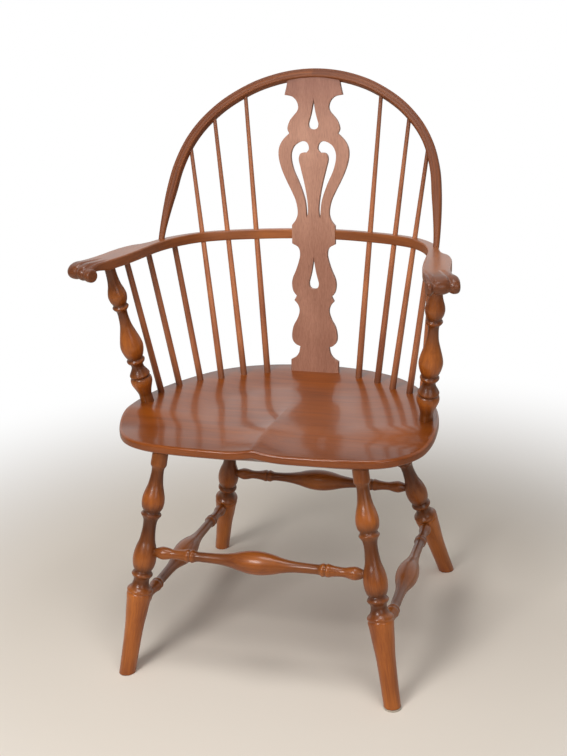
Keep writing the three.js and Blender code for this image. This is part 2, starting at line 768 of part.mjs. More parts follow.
function splatBlock(halfWidth, low, high, thickness) {
  const geometry = new THREE.BoxGeometry(2 * halfWidth, high - low, thickness);
  geometry.translate(0, (low + high) / 2, 0);
  return placedPlate(geometry);
}

// The notch in the rail takes the straight waist of the splat
function splatNotch() {
  const halfWidth = splatWaistShare * splat.halfWidth + glueGap;
  return splatBlock(halfWidth, waistLow, waistHigh, splat.thickness + socketAllowance);
}

function splatFootTenon(allowance) {
  const halfWidth = splat.tenonHalfWidth + allowance / 2;
  const depth = depthWith(splat.footTenonDepth, allowance);
  return splatBlock(halfWidth, -depth, tenonRoot, splat.tenonThickness + allowance);
}

function splatTopTenon(allowance) {
  const halfWidth = splat.tenonHalfWidth + allowance / 2;
  const high = splatLength + depthWith(splat.topTenonDepth, allowance);
  return splatBlock(halfWidth, splatLength - tenonRoot, high, splat.tenonThickness + allowance);
}

// Bow
function bowBand(allowance) {
  const length = bowLine.getLength();
  const rings = [];
  for (let step = 0; step <= bowSteps; step += 1) {
    const share = step / bowSteps;
    const middle = bowLine.getPointAt(share);
    const outward = bowOutward(share);
    const fromEnd = Math.min(share, 1 - share) * length;
    const full = THREE.MathUtils.smoothstep(fromEnd, 0, bow.taperLength);
    const scale = THREE.MathUtils.lerp(bowEndShare, 1, full);
    const width = scale * bow.sectionWidth / 2 + allowance;
    const depth = scale * bow.sectionDepth / 2 + allowance;
    const chamfer = scale * bow.edgeChamfer;
    const corners = [
      [-width, -depth + chamfer], [-width + chamfer, -depth],
      [width - chamfer, -depth], [width, -depth + chamfer],
      [width, depth - chamfer], [width - chamfer, depth],
      [-width + chamfer, depth], [-width, depth - chamfer],
    ];
    rings.push(corners.map(([out, back]) => (
      middle.clone().addScaledVector(outward, out).addScaledVector(bowBackward, back)
    )));
  }
  return loftedSolid(rings);
}

function bowTenon(side, allowance) {
  const foot = bowPoint(1, side);
  const direction = new THREE.Vector3(0, bowTopY - bowFootY, bow.rise).normalize();
  const toRail = (armTopHeight(foot.y) - foot.z) / direction.z;
  const start = toRail - depthWith(bow.tenonDepth, allowance);
  return tenon(bow.tenonDiameter + allowance, foot, direction, start, toRail + tenonRoot);
}

const bowWithGap = bowBand(glueGap);

// Spindles
const spindlePlaces = [-1, 1].flatMap((side) => [
  ...longSpindles.map((place, index) => (
    { name: `spindle_long_${sideName(side)}_${index + 1}`, side, long: true, ...place }
  )),
  ...shortSpindles.map((place, index) => (
    { name: `spindle_short_${sideName(side)}_${index + 1}`, side, long: false, ...place }
  )),
]);

// A line from the bow through the middle of the rail comes down on the seat here
function longSpindleFoot(place, top) {
  const down = railPoint(place.armShare, place.side).sub(top);
  down.z += arm.thickness / 2;
  return top.clone().addScaledVector(down, (seat.rimHeight - top.z) / down.z);
}

function spindleAxis(place) {
  const top = place.long ? bowPoint(place.bowShare, place.side) : railPoint(place.armShare, place.side);
  const foot = place.long
    ? longSpindleFoot(place, top)
    : seatPlace(place.footShares, seat.rimHeight, place.side);
  return { foot, top, length: foot.distanceTo(top), direction: top.clone().sub(foot).normalize() };
}

function spindleBody(place, allowance) {
  const { foot, top, length } = spindleAxis(place);
  const shares = place.long ? longSpindleShares : shortSpindleShares;
  const stations = stationsFrom(shares, length, spindle.diameter, allowance);
  const [first, last] = [stations[0], stations[stations.length - 1]];
  const whole = [[-tenonRoot, first[1]], ...stations, [length + tenonRoot, last[1]]];
  return turned(whole, spindleSides, foot, top);
}

function spindleFootTenon(place, allowance) {
  const { foot, direction } = spindleAxis(place);
  const depth = depthWith(spindle.footTenonDepth, allowance);
  return tenon(spindle.footTenonDiameter + allowance, foot, direction, -depth, tenonRoot);
}

function spindleTopTenon(place, allowance) {
  const { top, direction } = spindleAxis(place);
  if (place.long) {
    const outward = bowOutward(halfShare - halfShare * place.bowShare);
    outward.x *= place.side;
    const start = -(bow.sectionWidth / 2 + tenonRoot) / direction.dot(outward);
    const end = allowance > 0 ? socketExtraDepth : 0;
    return tenon(spindle.bowTenonDiameter + allowance, top, direction, start, end);
  }
  const depth = depthWith(spindle.armTenonDepth, allowance);
  return tenon(spindle.armTenonDiameter + allowance, top, direction, -tenonRoot, depth);
}

function spindleSolid(place) {
  const body = spindleBody(place, 0).subtract(halfSpace(seat.rimHeight + glueGap, false));
  const fitted = place.long
    ? largestPiece(body.subtract(bowWithGap))
    : body.subtract(armHalfSpace(-arm.thickness - glueGap, true));
  return fitted.add(spindleFootTenon(place, 0)).add(spindleTopTenon(place, 0));
}

// Arm posts
function postAxis(side) {
  const foot = seatPlace(post.footShares, seat.rimHeight, side);
  const top = railPoint(post.armShare, side);
  top.x += side * post.topOutset;
  return { foot, top, length: foot.distanceTo(top), direction: top.clone().sub(foot).normalize() };
}

function postFootTenon(side, allowance) {
  const { foot, direction } = postAxis(side);
  const depth = depthWith(post.footTenonDepth, allowance);
  return tenon(post.footTenonDiameter + allowance, foot, direction, -depth, tenonRoot);
}

function postTopTenon(side, allowance) {
  const { top, direction } = postAxis(side);
  const depth = depthWith(post.topTenonDepth, allowance);
  return tenon(post.topTenonDiameter + allowance, top, direction, -tenonRoot, depth);
}

function postSolid(side) {
  const { foot, top, length } = postAxis(side);
  const stations = stationsFrom(postTurningShares, length, post.diameter);
  const body = turned(stations, legSides, foot, top)
    .subtract(halfSpace(seat.rimHeight + glueGap, false))
    .subtract(armHalfSpace(-arm.thickness - glueGap, true));
  return body.add(postFootTenon(side, 0)).add(postTopTenon(side, 0));
}

// Pieces with the sockets of what stands in them
function withRailSockets(solid) {
  let socketed = solid.subtract(splatNotch());
  for (const place of spindlePlaces) {
    const cutter = place.long ? spindleBody(place, socketAllowance) : spindleTopTenon(place, socketAllowance);
    socketed = socketed.subtract(cutter);
  }
  for (const side of [-1, 1]) {
    socketed = socketed.subtract(postTopTenon(side, socketAllowance));
    socketed = socketed.subtract(bowTenon(side, socketAllowance));
  }
  return socketed;
}

function armRailSolid() {
  let rail = railBand(0, 0);
  for (const side of [-1, 1]) {
    rail = rail.subtract(aheadOfKnuckle(side));
    const ownFingers = knuckleFingers(side).map((finger) => finger.intersect(railBand(0, 0)));
    for (const finger of ownFingers) rail = rail.add(finger);
    for (const groove of knuckleGrooves(side)) rail = rail.subtract(groove);
  }
  return largestPiece(withRailSockets(rail));
}

function handSolid(side) {
  return largestPiece(withRailSockets(parted(carvedHand(side), side)));
}

function knuckleSolid(side) {
  return largestPiece(carvedHand(side).subtract(armHalfSpace(-arm.thickness - glueGap, true)));
}

function seatSolid() {
  let solid = plank.subtract(splatFootTenon(socketAllowance));
  for (const place of legPlaces) solid = solid.subtract(legTenon(place, socketAllowance));
  for (const place of spindlePlaces) solid = solid.subtract(spindleFootTenon(place, socketAllowance));
  for (const side of [-1, 1]) solid = solid.subtract(postFootTenon(side, socketAllowance));
  return solid;
}

function splatSolid() {
  const plate = splatPlate().subtract(bowWithGap).subtract(halfSpace(seat.rimHeight + glueGap, false));
  return largestPiece(plate).add(splatFootTenon(0)).add(splatTopTenon(0));
}

function bowSolid() {
  let solid = largestPiece(bowBand(0).subtract(armHalfSpace(glueGap, false)));
  solid = solid.add(bowTenon(-1, 0)).add(bowTenon(1, 0)).subtract(splatTopTenon(socketAllowance));
  for (const place of spindlePlaces.filter(({ long }) => long)) {
    solid = solid.subtract(spindleTopTenon(place, socketAllowance));
  }
  return solid;
}

// The chair
const chair = new THREE.Group();

function addPiece(name, solid, color, roughness) {
  const material = new THREE.MeshStandardMaterial({ color, roughness, metalness: 0 });
  const piece = new THREE.Mesh(geometryOf(solid), material);
  piece.name = name;
  chair.add(piece);
}

addPiece('seat', seatSolid(), colours.seat, glossyRoughness);
for (const place of legPlaces) addPiece(place.name, legSolid(place), colours.leg, satinRoughness);
for (const rung of stretchers) addPiece(rung.name, stretcherSolid(rung), colours.stretcher, satinRoughness);
addPiece('arm_rail', armRailSolid(), colours.arm, satinRoughness);
for (const side of [-1, 1]) {
  addPiece(`arm_post_${sideName(side)}`, postSolid(side), colours.post, satinRoughness);
  addPiece(`hand_${sideName(side)}`, handSolid(side), colours.arm, satinRoughness);
  addPiece(`knuckle_${sideName(side)}`, knuckleSolid(side), colours.arm, satinRoughness);
}
addPiece('bow', bowSolid(), colours.bow, satinRoughness);
addPiece('splat', splatSolid(), colours.splat, satinRoughness);
for (const place of spindlePlaces) addPiece(place.name, spindleSolid(place), colours.spindle, satinRoughness);
addPiece('foot_disc', footDiscSolid(), colours.disc, feltRoughness);

// The origin is on the floor, in the middle of the chair
const bounds = new THREE.Box3().setFromObject(chair);
const middle = bounds.getCenter(new THREE.Vector3());
chair.position.set(-middle.x, -middle.y, -bounds.min.z);
const armchair = new THREE.Group();
armchair.add(chair);

export default armchair;
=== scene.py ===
"""Windsor armchair: stained and lacquered wood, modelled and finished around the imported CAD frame.

Metres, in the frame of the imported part: +Z up, the front faces -Y.
"""

import math

import bmesh
import bpy
import numpy as np
from mathutils import Matrix, Vector


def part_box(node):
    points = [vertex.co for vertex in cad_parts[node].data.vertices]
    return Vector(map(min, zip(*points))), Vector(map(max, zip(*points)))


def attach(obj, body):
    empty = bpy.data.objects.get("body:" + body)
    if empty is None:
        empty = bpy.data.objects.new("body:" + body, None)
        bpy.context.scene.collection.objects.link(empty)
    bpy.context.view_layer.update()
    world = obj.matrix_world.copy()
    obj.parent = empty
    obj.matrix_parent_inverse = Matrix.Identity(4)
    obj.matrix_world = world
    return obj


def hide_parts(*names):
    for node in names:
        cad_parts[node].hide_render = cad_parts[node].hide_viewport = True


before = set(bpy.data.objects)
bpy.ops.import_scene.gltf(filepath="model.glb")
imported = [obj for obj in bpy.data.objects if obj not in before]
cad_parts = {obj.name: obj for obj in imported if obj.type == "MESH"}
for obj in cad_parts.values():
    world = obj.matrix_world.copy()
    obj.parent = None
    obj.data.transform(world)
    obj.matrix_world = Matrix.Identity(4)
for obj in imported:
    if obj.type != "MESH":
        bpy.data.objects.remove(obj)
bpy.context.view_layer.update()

bl_info = {
    "name": "Windsor armchair",
    "version": (1, 0, 0),
    "blender": (4, 5, 0),
    "location": "3D View > Sidebar > Chair",
    "description": "Builds the visible wood of a bow-back Windsor armchair around its CAD frame",
    "category": "Object",
}

BODY = "root"
SIDES = {"left": -1, "right": 1}
UP = Vector((0, 0, 1))

# The seat's place comes from the frame, and every other place is tied to the seat
SEAT_LOW, SEAT_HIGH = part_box("seat")
SEAT_FRONT = SEAT_LOW.y
SEAT_DEPTH = SEAT_HIGH.y - SEAT_LOW.y
RIM_HEIGHT = SEAT_HIGH.z
UNDERSIDE_HEIGHT = SEAT_LOW.z

# Seat: the right half of its outline, front to back, as shares of half width and depth
SEAT_OUTLINE_SHARES = [
    (0, 0), (0.31, 0.002), (0.555, 0.01), (0.75, 0.034), (0.865, 0.08), (0.946, 0.155),
    (1, 0.264), (0.997, 0.378), (0.966, 0.492), (0.908, 0.606), (0.8, 0.738), (0.68, 0.843),
    (0.54, 0.916), (0.353, 0.968), (0.171, 0.993), (0, 1),
]
SEAT_MIDDLE_SHARE = 0.5
DISH_SHARES = {"floor": 0.44, "rim": 0.91}
DISH_OPEN_SHARES = {"from": 0.16, "to": 0.34}
POMMEL_SHARES = {"full": 0.13, "gone": 0.62}

# Legs: where their axes meet the floor and the seat's underside, and what is trimmed off the foot
LEG_ENDS = {
    "front": {"foot": (0.856, -0.105), "top": (0.627, 0.071), "trim": 0.0},
    "back": {"foot": (0.856, 1.075), "top": (0.514, 0.784), "trim": 0.009},
}
LEGS = {"leg_%s_%s" % (end, name): {**place, "side": side}
        for end, place in LEG_ENDS.items() for name, side in SIDES.items()}
LIFTED_LEG = "leg_front_right"

# A leg's turning: shares of its length from the foot, and of the largest diameter
LEG_TURNING_SHARES = [
    (-0.05, 0.63), (0.143, 0.69), (0.226, 0.75), (0.285, 0.85), (0.337, 0.925), (0.372, 0.98),
    (0.379, 0.935), (0.385, 1), (0.394, 0.97), (0.404, 0.775), (0.416, 0.665), (0.43, 0.61),
    (0.443, 0.63), (0.451, 0.73), (0.461, 0.83), (0.47, 0.76), (0.478, 0.665), (0.49, 0.775),
    (0.511, 0.88), (0.537, 0.915), (0.563, 0.87), (0.587, 0.775), (0.615, 0.625), (0.646, 0.55),
    (0.684, 0.515), (0.708, 0.56), (0.72, 0.65), (0.734, 0.8), (0.747, 0.66), (0.765, 0.815),
    (0.791, 0.88), (0.815, 0.84), (0.839, 0.73), (0.867, 0.59), (0.9, 0.505), (0.929, 0.475),
    (0.943, 0.505), (0.953, 0.61), (0.979, 0.62), (1.02, 0.61),
]
# How light the colour is along a leg: clear on the tapered foot, darker in the coves and under the seat,
# partly toner and partly painted shade
LEG_SHADES = [
    (0, 0.95), (0.3, 0.9), (0.365, 0.75), (0.385, 0.6), (0.41, 0.2), (0.43, 0.1),
    (0.452, 0.2), (0.461, 0.4), (0.474, 0.1), (0.485, 0.15), (0.515, 0.5), (0.54, 0.58),
    (0.57, 0.45), (0.61, 0.25), (0.67, 0.1), (0.71, 0.1), (0.734, 0.35), (0.748, 0.08),
    (0.77, 0.35), (0.795, 0.72), (0.82, 0.7), (0.85, 0.45), (0.89, 0.2), (0.93, 0.15),
    (0.96, 0.4), (1, 0.3),
]

# Stretchers: their heights as shares of the seat's underside, their turned ends and middle swelling
STRETCHERS = {
    "stretcher_front": ("leg_front_left", "leg_front_right", 0.230),
    "stretcher_back": ("leg_back_left", "leg_back_right", 0.211),
    "stretcher_left": ("leg_front_left", "leg_back_left", 0.125),
    "stretcher_right": ("leg_front_right", "leg_back_right", 0.125),
}
STRETCHER_END_SHARES = [
    (0, 0.37), (0.05, 0.45), (0.14, 0.56), (0.23, 0.52), (0.34, 0.41), (0.45, 0.41), (0.57, 0.48),
    (0.66, 0.57), (0.7, 0.52), (0.75, 0.57), (0.83, 0.44), (1, 0.43),
]
STRETCHER_SWELL_SHARES = [(-1, 0.49), (-0.7, 0.64), (-0.42, 0.86), (-0.15, 0.99)]
# How light the colour is along a stretcher: darker in the coves and where it enters the leg, partly toner
# and partly painted shade
STRETCHER_END_SHADES = [
    (0, 0.2), (0.14, 0.5), (0.3, 0.45), (0.6, 0.4), (0.66, 0.5), (0.7, 0.2), (0.75, 0.5), (0.82, 0.2),
]
STRETCHER_SWELL_SHADES = [(-1, 0.35), (-0.5, 0.55), (0, 0.65)]

# Arm posts: foot on the seat, place along half the rail, and turning
POST_FOOT_SHARES = (0.914, 0.409)
POST_RAIL_SHARE = 0.834
POST_TURNING_SHARES = [
    (-0.02, 0.585), (0.029, 0.576), (0.058, 0.565), (0.087, 0.66), (0.116, 0.8), (0.145, 0.93),
    (0.167, 0.953), (0.184, 0.89), (0.193, 0.79), (0.206, 0.9), (0.219, 0.835), (0.239, 0.69),
    (0.257, 0.57), (0.277, 0.535), (0.29, 0.585), (0.302, 0.745), (0.317, 0.8), (0.331, 0.68),
    (0.355, 0.812), (0.391, 0.953), (0.42, 1), (0.449, 0.953), (0.489, 0.824), (0.533, 0.66),
    (0.576, 0.518), (0.627, 0.447), (0.663, 0.435), (0.684, 0.485), (0.697, 0.635), (0.71, 0.71),
    (0.725, 0.59), (0.757, 0.741), (0.79, 0.812), (0.823, 0.741), (0.862, 0.588), (0.906, 0.494),
    (0.949, 0.459), (1.02, 0.452),
]
# How light the colour is along a post: darker in the coves and where it meets the arm, partly toner and
# partly painted shade
POST_SHADES = [
    (0, 0.35), (0.06, 0.25), (0.1, 0.45), (0.15, 0.75), (0.18, 0.5), (0.194, 0.1),
    (0.21, 0.4), (0.235, 0.2), (0.28, 0.1), (0.305, 0.35), (0.319, 0.5), (0.331, 0.1),
    (0.36, 0.45), (0.4, 0.95), (0.44, 0.95), (0.5, 0.75), (0.56, 0.5), (0.63, 0.3),
    (0.68, 0.15), (0.7, 0.4), (0.71, 0.55), (0.725, 0.1), (0.76, 0.4), (0.8, 0.55),
    (0.85, 0.45), (0.92, 0.3), (1, 0.2),
]

# Arm rail: its reach over the seat, and its middle line from back to front
ARM_SHARES = {"width": 1.027, "front": 0.091, "back": 0.989}
ARM_PLAN_SHARES = [
    (0, 1), (0.193, 0.988), (0.377, 0.953), (0.55, 0.905), (0.702, 0.833), (0.797, 0.743),
    (0.857, 0.645), (0.887, 0.553), (0.903, 0.452), (0.918, 0.345), (0.94, 0.231), (0.973, 0.129),
    (1.013, 0.041), (1.037, 0),
]
ARM_WIDENS_SHARES = {"from": 0.865, "to": 0.624}
HAND_OUTLINE_SHARES = [
    (0.873, 0.584), (0.915, 0.563), (0.949, 0.523), (0.987, 0.49), (1.015, 0.439), (1.036, 0.376),
    (1.056, 0.269), (1.077, 0.18), (1.105, 0.119), (1.138, 0.096), (1.152, 0.066), (1.12, 0.01),
    (1, -0.036),
]
KNUCKLE_SHARES = {"inner": (0.975, 0.033), "outer": (1.138, 0.093)}
FINGER_WIDTH_SHARES = {"left": [0.215, 0.34, 0.445], "right": [0.165, 0.535, 0.3]}

# Bow: shares of the rail's width and of the seat's depth, and its right half from foot to top
BOW_SHARES = {"width": 0.873, "foot": 0.663, "top": 1.064, "end": 0.62}
BOW_PLAN_SHARES = [
    (1.004, 0), (1.004, 0.068), (0.993, 0.188), (0.973, 0.321), (0.947, 0.45), (0.891, 0.584),
    (0.819, 0.683), (0.733, 0.763), (0.641, 0.828), (0.515, 0.893), (0.38, 0.944), (0.191, 0.986),
    (0, 1),
]

# Spindles: places as shares of half the bow, of half the rail and of the seat
LONG_SPINDLE_SHARES = [(0.283, 0.201), (0.431, 0.298), (0.576, 0.385)]
SHORT_SPINDLE_SHARES = [((0.717, 0.708), 0.498), ((0.822, 0.629), 0.637), ((0.89, 0.528), 0.776)]
LONG_TAPER_SHARES = [(-0.012, 1), (0.15, 0.97), (0.35, 0.88), (0.55, 0.78), (0.8, 0.65), (1, 0.58)]
SHORT_TAPER_SHARES = [(-0.02, 1), (0.5, 0.93), (1.02, 0.84)]
# How light the colour is along a spindle: darker at the foot and the top, painted shade where it meets the
# seat, the rail and the bow
SPINDLE_SHADES = [(0, 0.3), (0.06, 0.5), (0.15, 0.8), (0.5, 0.85), (0.75, 0.6), (0.95, 0.35), (1, 0.25)]

# Splat: heights are shares of the drawing, with the waist before the rail and the bow's underside
SPLAT_FOOT_SHARE = 0.916
SPLAT_LEVEL_SHARES = {"waist_low": 0.456, "waist_high": 0.52, "bow": 1.01}
SPLAT_EDGE_SHARES = [
    [(0.697, -0.006), (0.697, 0.039)],
    [(0.697, 0.039), (0.563, 0.049), (0.465, 0.065), (0.423, 0.089)],
    [(0.423, 0.089), (0.542, 0.095), (0.641, 0.11), (0.662, 0.128), (0.613, 0.162), (0.486, 0.192),
     (0.43, 0.219), (0.472, 0.239), (0.578, 0.255)],
    [(0.578, 0.255), (0.507, 0.271)],
    [(0.507, 0.271), (0.599, 0.286), (0.641, 0.311), (0.613, 0.335), (0.527, 0.36), (0.437, 0.392),
     (0.394, 0.419), (0.437, 0.442), (0.62, 0.456)],
    [(0.62, 0.456), (0.62, 0.52)],
    [(0.62, 0.52), (0.507, 0.538), (0.451, 0.561), (0.5, 0.601), (0.62, 0.635), (0.761, 0.669),
     (0.887, 0.703), (0.972, 0.736), (1, 0.763), (0.972, 0.786), (0.873, 0.808), (0.69, 0.83)],
    [(0.69, 0.83), (0.739, 0.845), (0.676, 0.871), (0.563, 0.889), (0.465, 0.903), (0.43, 0.917),
     (0.479, 0.937), (0.599, 0.951), (0.817, 0.957)],
    [(0.817, 0.957), (0.746, 0.995), (0.735, 1.016)],
]
# How light the colour is up the splat: the bow's painted shadow at the top, a painted sheen between the rail
# and the top, darker below the rail
SPLAT_SHADES = [(0, 0.52), (0.2, 0.58), (0.42, 0.55), (0.5, 0.7), (0.62, 0.76), (0.84, 0.74), (0.99, 0.3)]
TEARDROP_SHARES = [(0.942, 0.843), (0.408, 0.297)]
TEARDROP_WIDTH_SHARE = 0.142
TEARDROP_OUTLINE_SHARES = [
    (0, 0), (0.17, 0.195), (0.45, 0.455), (0.83, 0.7), (1, 0.813), (0.94, 0.9), (0.6, 0.976), (0, 1),
]
SCROLL_OUTLINE_SHARES = [
    [(0.163, 0.556), (0.198, 0.546)],
    [(0.198, 0.546), (0.21, 0.575), (0.247, 0.607), (0.388, 0.658), (0.57, 0.709), (0.638, 0.745),
     (0.63, 0.767), (0.555, 0.787), (0.43, 0.799), (0.3, 0.804), (0.2, 0.801), (0.14, 0.791),
     (0.13, 0.777), (0.197, 0.766)],
    [(0.197, 0.766), (0.3, 0.766), (0.378, 0.761), (0.416, 0.745), (0.356, 0.711), (0.262, 0.665),
     (0.18, 0.612), (0.152, 0.574), (0.163, 0.556)],
]


def linear(hex_colour):
    """An sRGB hex colour as linear RGBA."""
    channels = [int(hex_colour[i:i + 2], 16) / 255 for i in (1, 3, 5)]
    return tuple(c / 12.92 if c <= 0.04045 else ((c + 0.055) / 1.055) ** 2.4 for c in channels) + (1,)


def length_property(name, description, default):
    return bpy.props.FloatProperty(
        name=name, description=description, default=default, min=0, unit="LENGTH", precision=4)


def colour_property(name, description, hex_colour):
    return bpy.props.FloatVectorProperty(
        name=name, description=description, default=linear(hex_colour), size=4, min=0, max=1,
        subtype="COLOR")


class ChairSizes(bpy.types.PropertyGroup):
    """Sizes of the pieces."""
    seat_half_width: length_property("Seat half width", "From the middle to the widest place", 0.292)
    seat_edge: length_property("Seat edge", "Height of the upright edge of the seat", 0.015)
    seat_rounding: length_property("Seat rounding", "Radius of the upper arris", 0.0045)
    seat_inset: length_property("Underside inset", "How far the bevel under the edge runs in", 0.034)
    dish_depth: length_property("Dish depth", "Depth of the hollow of the seat", 0.009)
    edge_drop: length_property("Front drop", "How far the front edge lies below the rim", 0.014)
    pommel_rise: length_property("Pommel rise", "Height of the ridge at the front", 0.007)
    pommel_half_width: length_property("Pommel half width", "Reach of the ridge to each side", 0.060)
    leg_diameter: length_property("Leg diameter", "Largest diameter of a leg", 0.0465)
    stretcher_diameter: length_property("Stretcher diameter", "Largest diameter", 0.042)
    stretcher_end: length_property("Stretcher end", "Length of the turned end", 0.095)
    stretcher_swell: length_property("Stretcher swell", "Half the length of the swelling", 0.066)
    post_diameter: length_property("Post diameter", "Largest diameter of an arm post", 0.0425)
    post_outset: length_property("Post outset", "How far the top stands outside the rail's middle", 0.015)
    spindle_diameter: length_property("Spindle diameter", "At the seat", 0.0126)
    arm_rise_back: length_property("Arm rise at the back", "Top of the rail over the rim", 0.2793)
    arm_rise_front: length_property("Arm rise at the front", "Top of the hand over the rim", 0.295)
    arm_thickness: length_property("Arm thickness", "Height of the rail's strip", 0.0185)
    arm_width_back: length_property("Arm width at the back", "Width of the strip", 0.0156)
    arm_width_side: length_property("Arm width at the side", "Width of the strip", 0.0212)
    bow_rise: length_property("Bow rise", "From its foot to its top", 0.293)
    bow_foot_drop: length_property("Bow foot", "How far the bow's foot lies under the rail's top", 0.0043)
    bow_width: length_property("Bow width", "Seen from the front", 0.0176)
    bow_depth: length_property("Bow depth", "From front to back", 0.017)
    bow_taper: length_property("Bow taper", "Length of the tapered end", 0.120)
    splat_half_width: length_property("Splat half width", "At its widest place", 0.0695)
    splat_thickness: length_property("Splat thickness", "Thickness of the board", 0.009)
    splat_margin: length_property("Waist margin", "Straight waist beyond the rail", 0.0085)
    disc_thickness: length_property("Disc thickness", "Disc under one front foot", 0.003)


class ChairFinish(bpy.types.PropertyGroup):
    """Colours of the finishes."""
    seat_dark: colour_property("Seat dark", "Dark grain of the seat", "#70330a")
    seat_light: colour_property("Seat light", "Light grain of the seat", "#9a4f14")
    turned_dark: colour_property("Turned dark", "Dark grain of legs, posts and stretchers", "#7c3b10")
    turned_light: colour_property("Turned light", "Light grain of legs, posts and stretchers", "#b86722")
    rod_dark: colour_property("Rod dark", "Dark grain of spindles", "#8f5236")
    rod_light: colour_property("Rod light", "Light grain of spindles", "#c97f52")
    bent_dark: colour_property("Bent dark", "Dark grain of the rail and the bow", "#884820")
    bent_light: colour_property("Bent light", "Light grain of the rail and the bow", "#b66b36")
    splat_dark: colour_property("Splat dark", "Dark grain of the splat", "#9c6a53")
    splat_light: colour_property("Splat light", "Light grain of the splat", "#c6937a")
    felt_dark: colour_property("Felt dark", "Hollows of the felt disc", "#a79c8c")
    felt_light: colour_property("Felt light", "Fibres of the felt disc", "#b9ab98")
    floor: colour_property("Floor", "Plain floor", "#e9dfd2")


def sizes():
    return bpy.context.scene.chair_sizes


def finish():
    return bpy.context.scene.chair_finish


# Curves and numbers

def smoothstep(value, low, high):
    share = np.clip((value - low) / (high - low), 0, 1)
    return share * share * (3 - 2 * share)


def with_mirror(half):
    return half + [(-x, y) for x, y in half[-2::-1]]


def catmull_rom(points, per_span):
    """Points along a centripetal Catmull-Rom curve through the given ones."""
    given = np.array([tuple(p) for p in points], float)
    padded = np.vstack([2 * given[0] - given[1], given, 2 * given[-1] - given[-2]])
    found = []
    for p0, p1, p2, p3 in zip(padded, padded[1:], padded[2:], padded[3:]):
        spans = [max(np.linalg.norm(b - a), 1e-9) ** 0.5 for a, b in ((p0, p1), (p1, p2), (p2, p3))]
        t0, t1, t2, t3 = np.cumsum([0] + spans)
        t = np.linspace(t1, t2, per_span, endpoint=False)[:, None]
        a1 = (t1 - t) / (t1 - t0) * p0 + (t - t0) / (t1 - t0) * p1
        a2 = (t2 - t) / (t2 - t1) * p1 + (t - t1) / (t2 - t1) * p2
        a3 = (t3 - t) / (t3 - t2) * p2 + (t - t2) / (t3 - t2) * p3
        b1 = (t2 - t) / (t2 - t0) * a1 + (t - t0) / (t2 - t0) * a2
        b2 = (t3 - t) / (t3 - t1) * a2 + (t - t1) / (t3 - t1) * a3
        found.append((t2 - t) / (t2 - t1) * b1 + (t - t1) / (t2 - t1) * b2)
    found.append(given[-1:])
    return np.vstack(found)


class Line:
    """A curve through points, read at shares of its length."""

    def __init__(self, points):
        self.points = catmull_rom(points, 24)
        steps = np.linalg.norm(np.diff(self.points, axis=0), axis=1)
        self.distances = np.concatenate([[0], np.cumsum(steps)])
        self.length = self.distances[-1]
        self.directions = np.gradient(self.points, self.distances, axis=0)

    def read(self, columns, share):
        where = np.clip(share, 0, 1) * self.length
        return Vector([np.interp(where, self.distances, column) for column in columns.T])

    def at(self, share):
        return self.read(self.points, share)

    def tangent(self, share):
        return self.read(self.directions, share).normalized()


# Meshes

def linked(name, data):
    """An object in the scene for a mesh, a curve, a lamp or a camera."""
    made = bpy.data.objects.new(name, data)
    bpy.context.scene.collection.objects.link(made)
    return made


def new_object(name, vertices, faces, grain=None, shade=None):
    mesh = bpy.data.meshes.new(name)
    mesh.from_pydata([tuple(v) for v in vertices], [], faces)
    mesh.validate()
    if grain is not None:
        store_grain(mesh, grain, shade)
    return linked(name, mesh)


def store_grain(mesh, grain, shade):
    """Keeps where each point lies in its board, along Z, and how light the colour is there, from toner and
    painted shade.
    """
    layers = (("grain", "FLOAT_VECTOR", "vector", grain), ("shade", "FLOAT", "value", shade))
    for name, kind, field, values in layers:
        layer = mesh.attributes.get(name) or mesh.attributes.new(name, kind, "POINT")
        layer.data.foreach_set(field, np.asarray(values, np.float32).ravel())


def places_of(mesh):
    found = np.zeros(len(mesh.vertices) * 3, np.float32)
    mesh.vertices.foreach_get("co", found)
    return found.reshape(-1, 3).astype(float)


def set_places(mesh, places):
    mesh.vertices.foreach_set("co", places.astype(np.float32).ravel())
    mesh.update()


def edited(made, change=lambda working: None):
    """Opens an object's mesh for bmesh operations, and turns its faces outward."""
    working = bmesh.new()
    working.from_mesh(made.data)
    change(working)
    bmesh.ops.recalc_face_normals(working, faces=working.faces)
    working.to_mesh(made.data)
    working.free()
    made.data.update()


def cut(made, point, normal, closed=True):
    """Removes what lies on the side the normal points to, and closes the cut."""
    def change(working):
        geometry = working.verts[:] + working.edges[:] + working.faces[:]
        found = bmesh.ops.bisect_plane(
            working, geom=geometry, plane_co=point, plane_no=normal, clear_outer=True, dist=1e-7)
        if closed:
            rim = [e for e in found["geom_cut"] if isinstance(e, bmesh.types.BMEdge)]
            bmesh.ops.contextual_create(working, geom=rim)
    edited(made, change)


def applied(drawn, name):
    """A mesh object from a drawn one, with its modifiers or its curve's thickness."""
    graph = bpy.context.evaluated_depsgraph_get()
    mesh = bpy.data.meshes.new_from_object(drawn.evaluated_get(graph))
    bpy.data.objects.remove(drawn)
    return linked(name, mesh)


def joined(name, pieces):
    """One object from several that share the frame's origin."""
    working = bmesh.new()
    for piece in pieces:
        working.from_mesh(piece.data)
        bpy.data.objects.remove(piece)
    mesh = bpy.data.meshes.new(name)
    working.to_mesh(mesh)
    working.free()
    return linked(name, mesh)


def ring_faces(rings, sides, closed_ends=True):
    faces = []
    for ring in range(rings - 1):
        for side in range(sides):
            following = (side + 1) % sides
            faces.append((ring * sides + side, ring * sides + following,
                          (ring + 1) * sides + following, (ring + 1) * sides + side))
    if closed_ends:
        faces.append(tuple(range(sides))[::-1])
        faces.append(tuple(range((rings - 1) * sides, rings * sides)))
    return faces


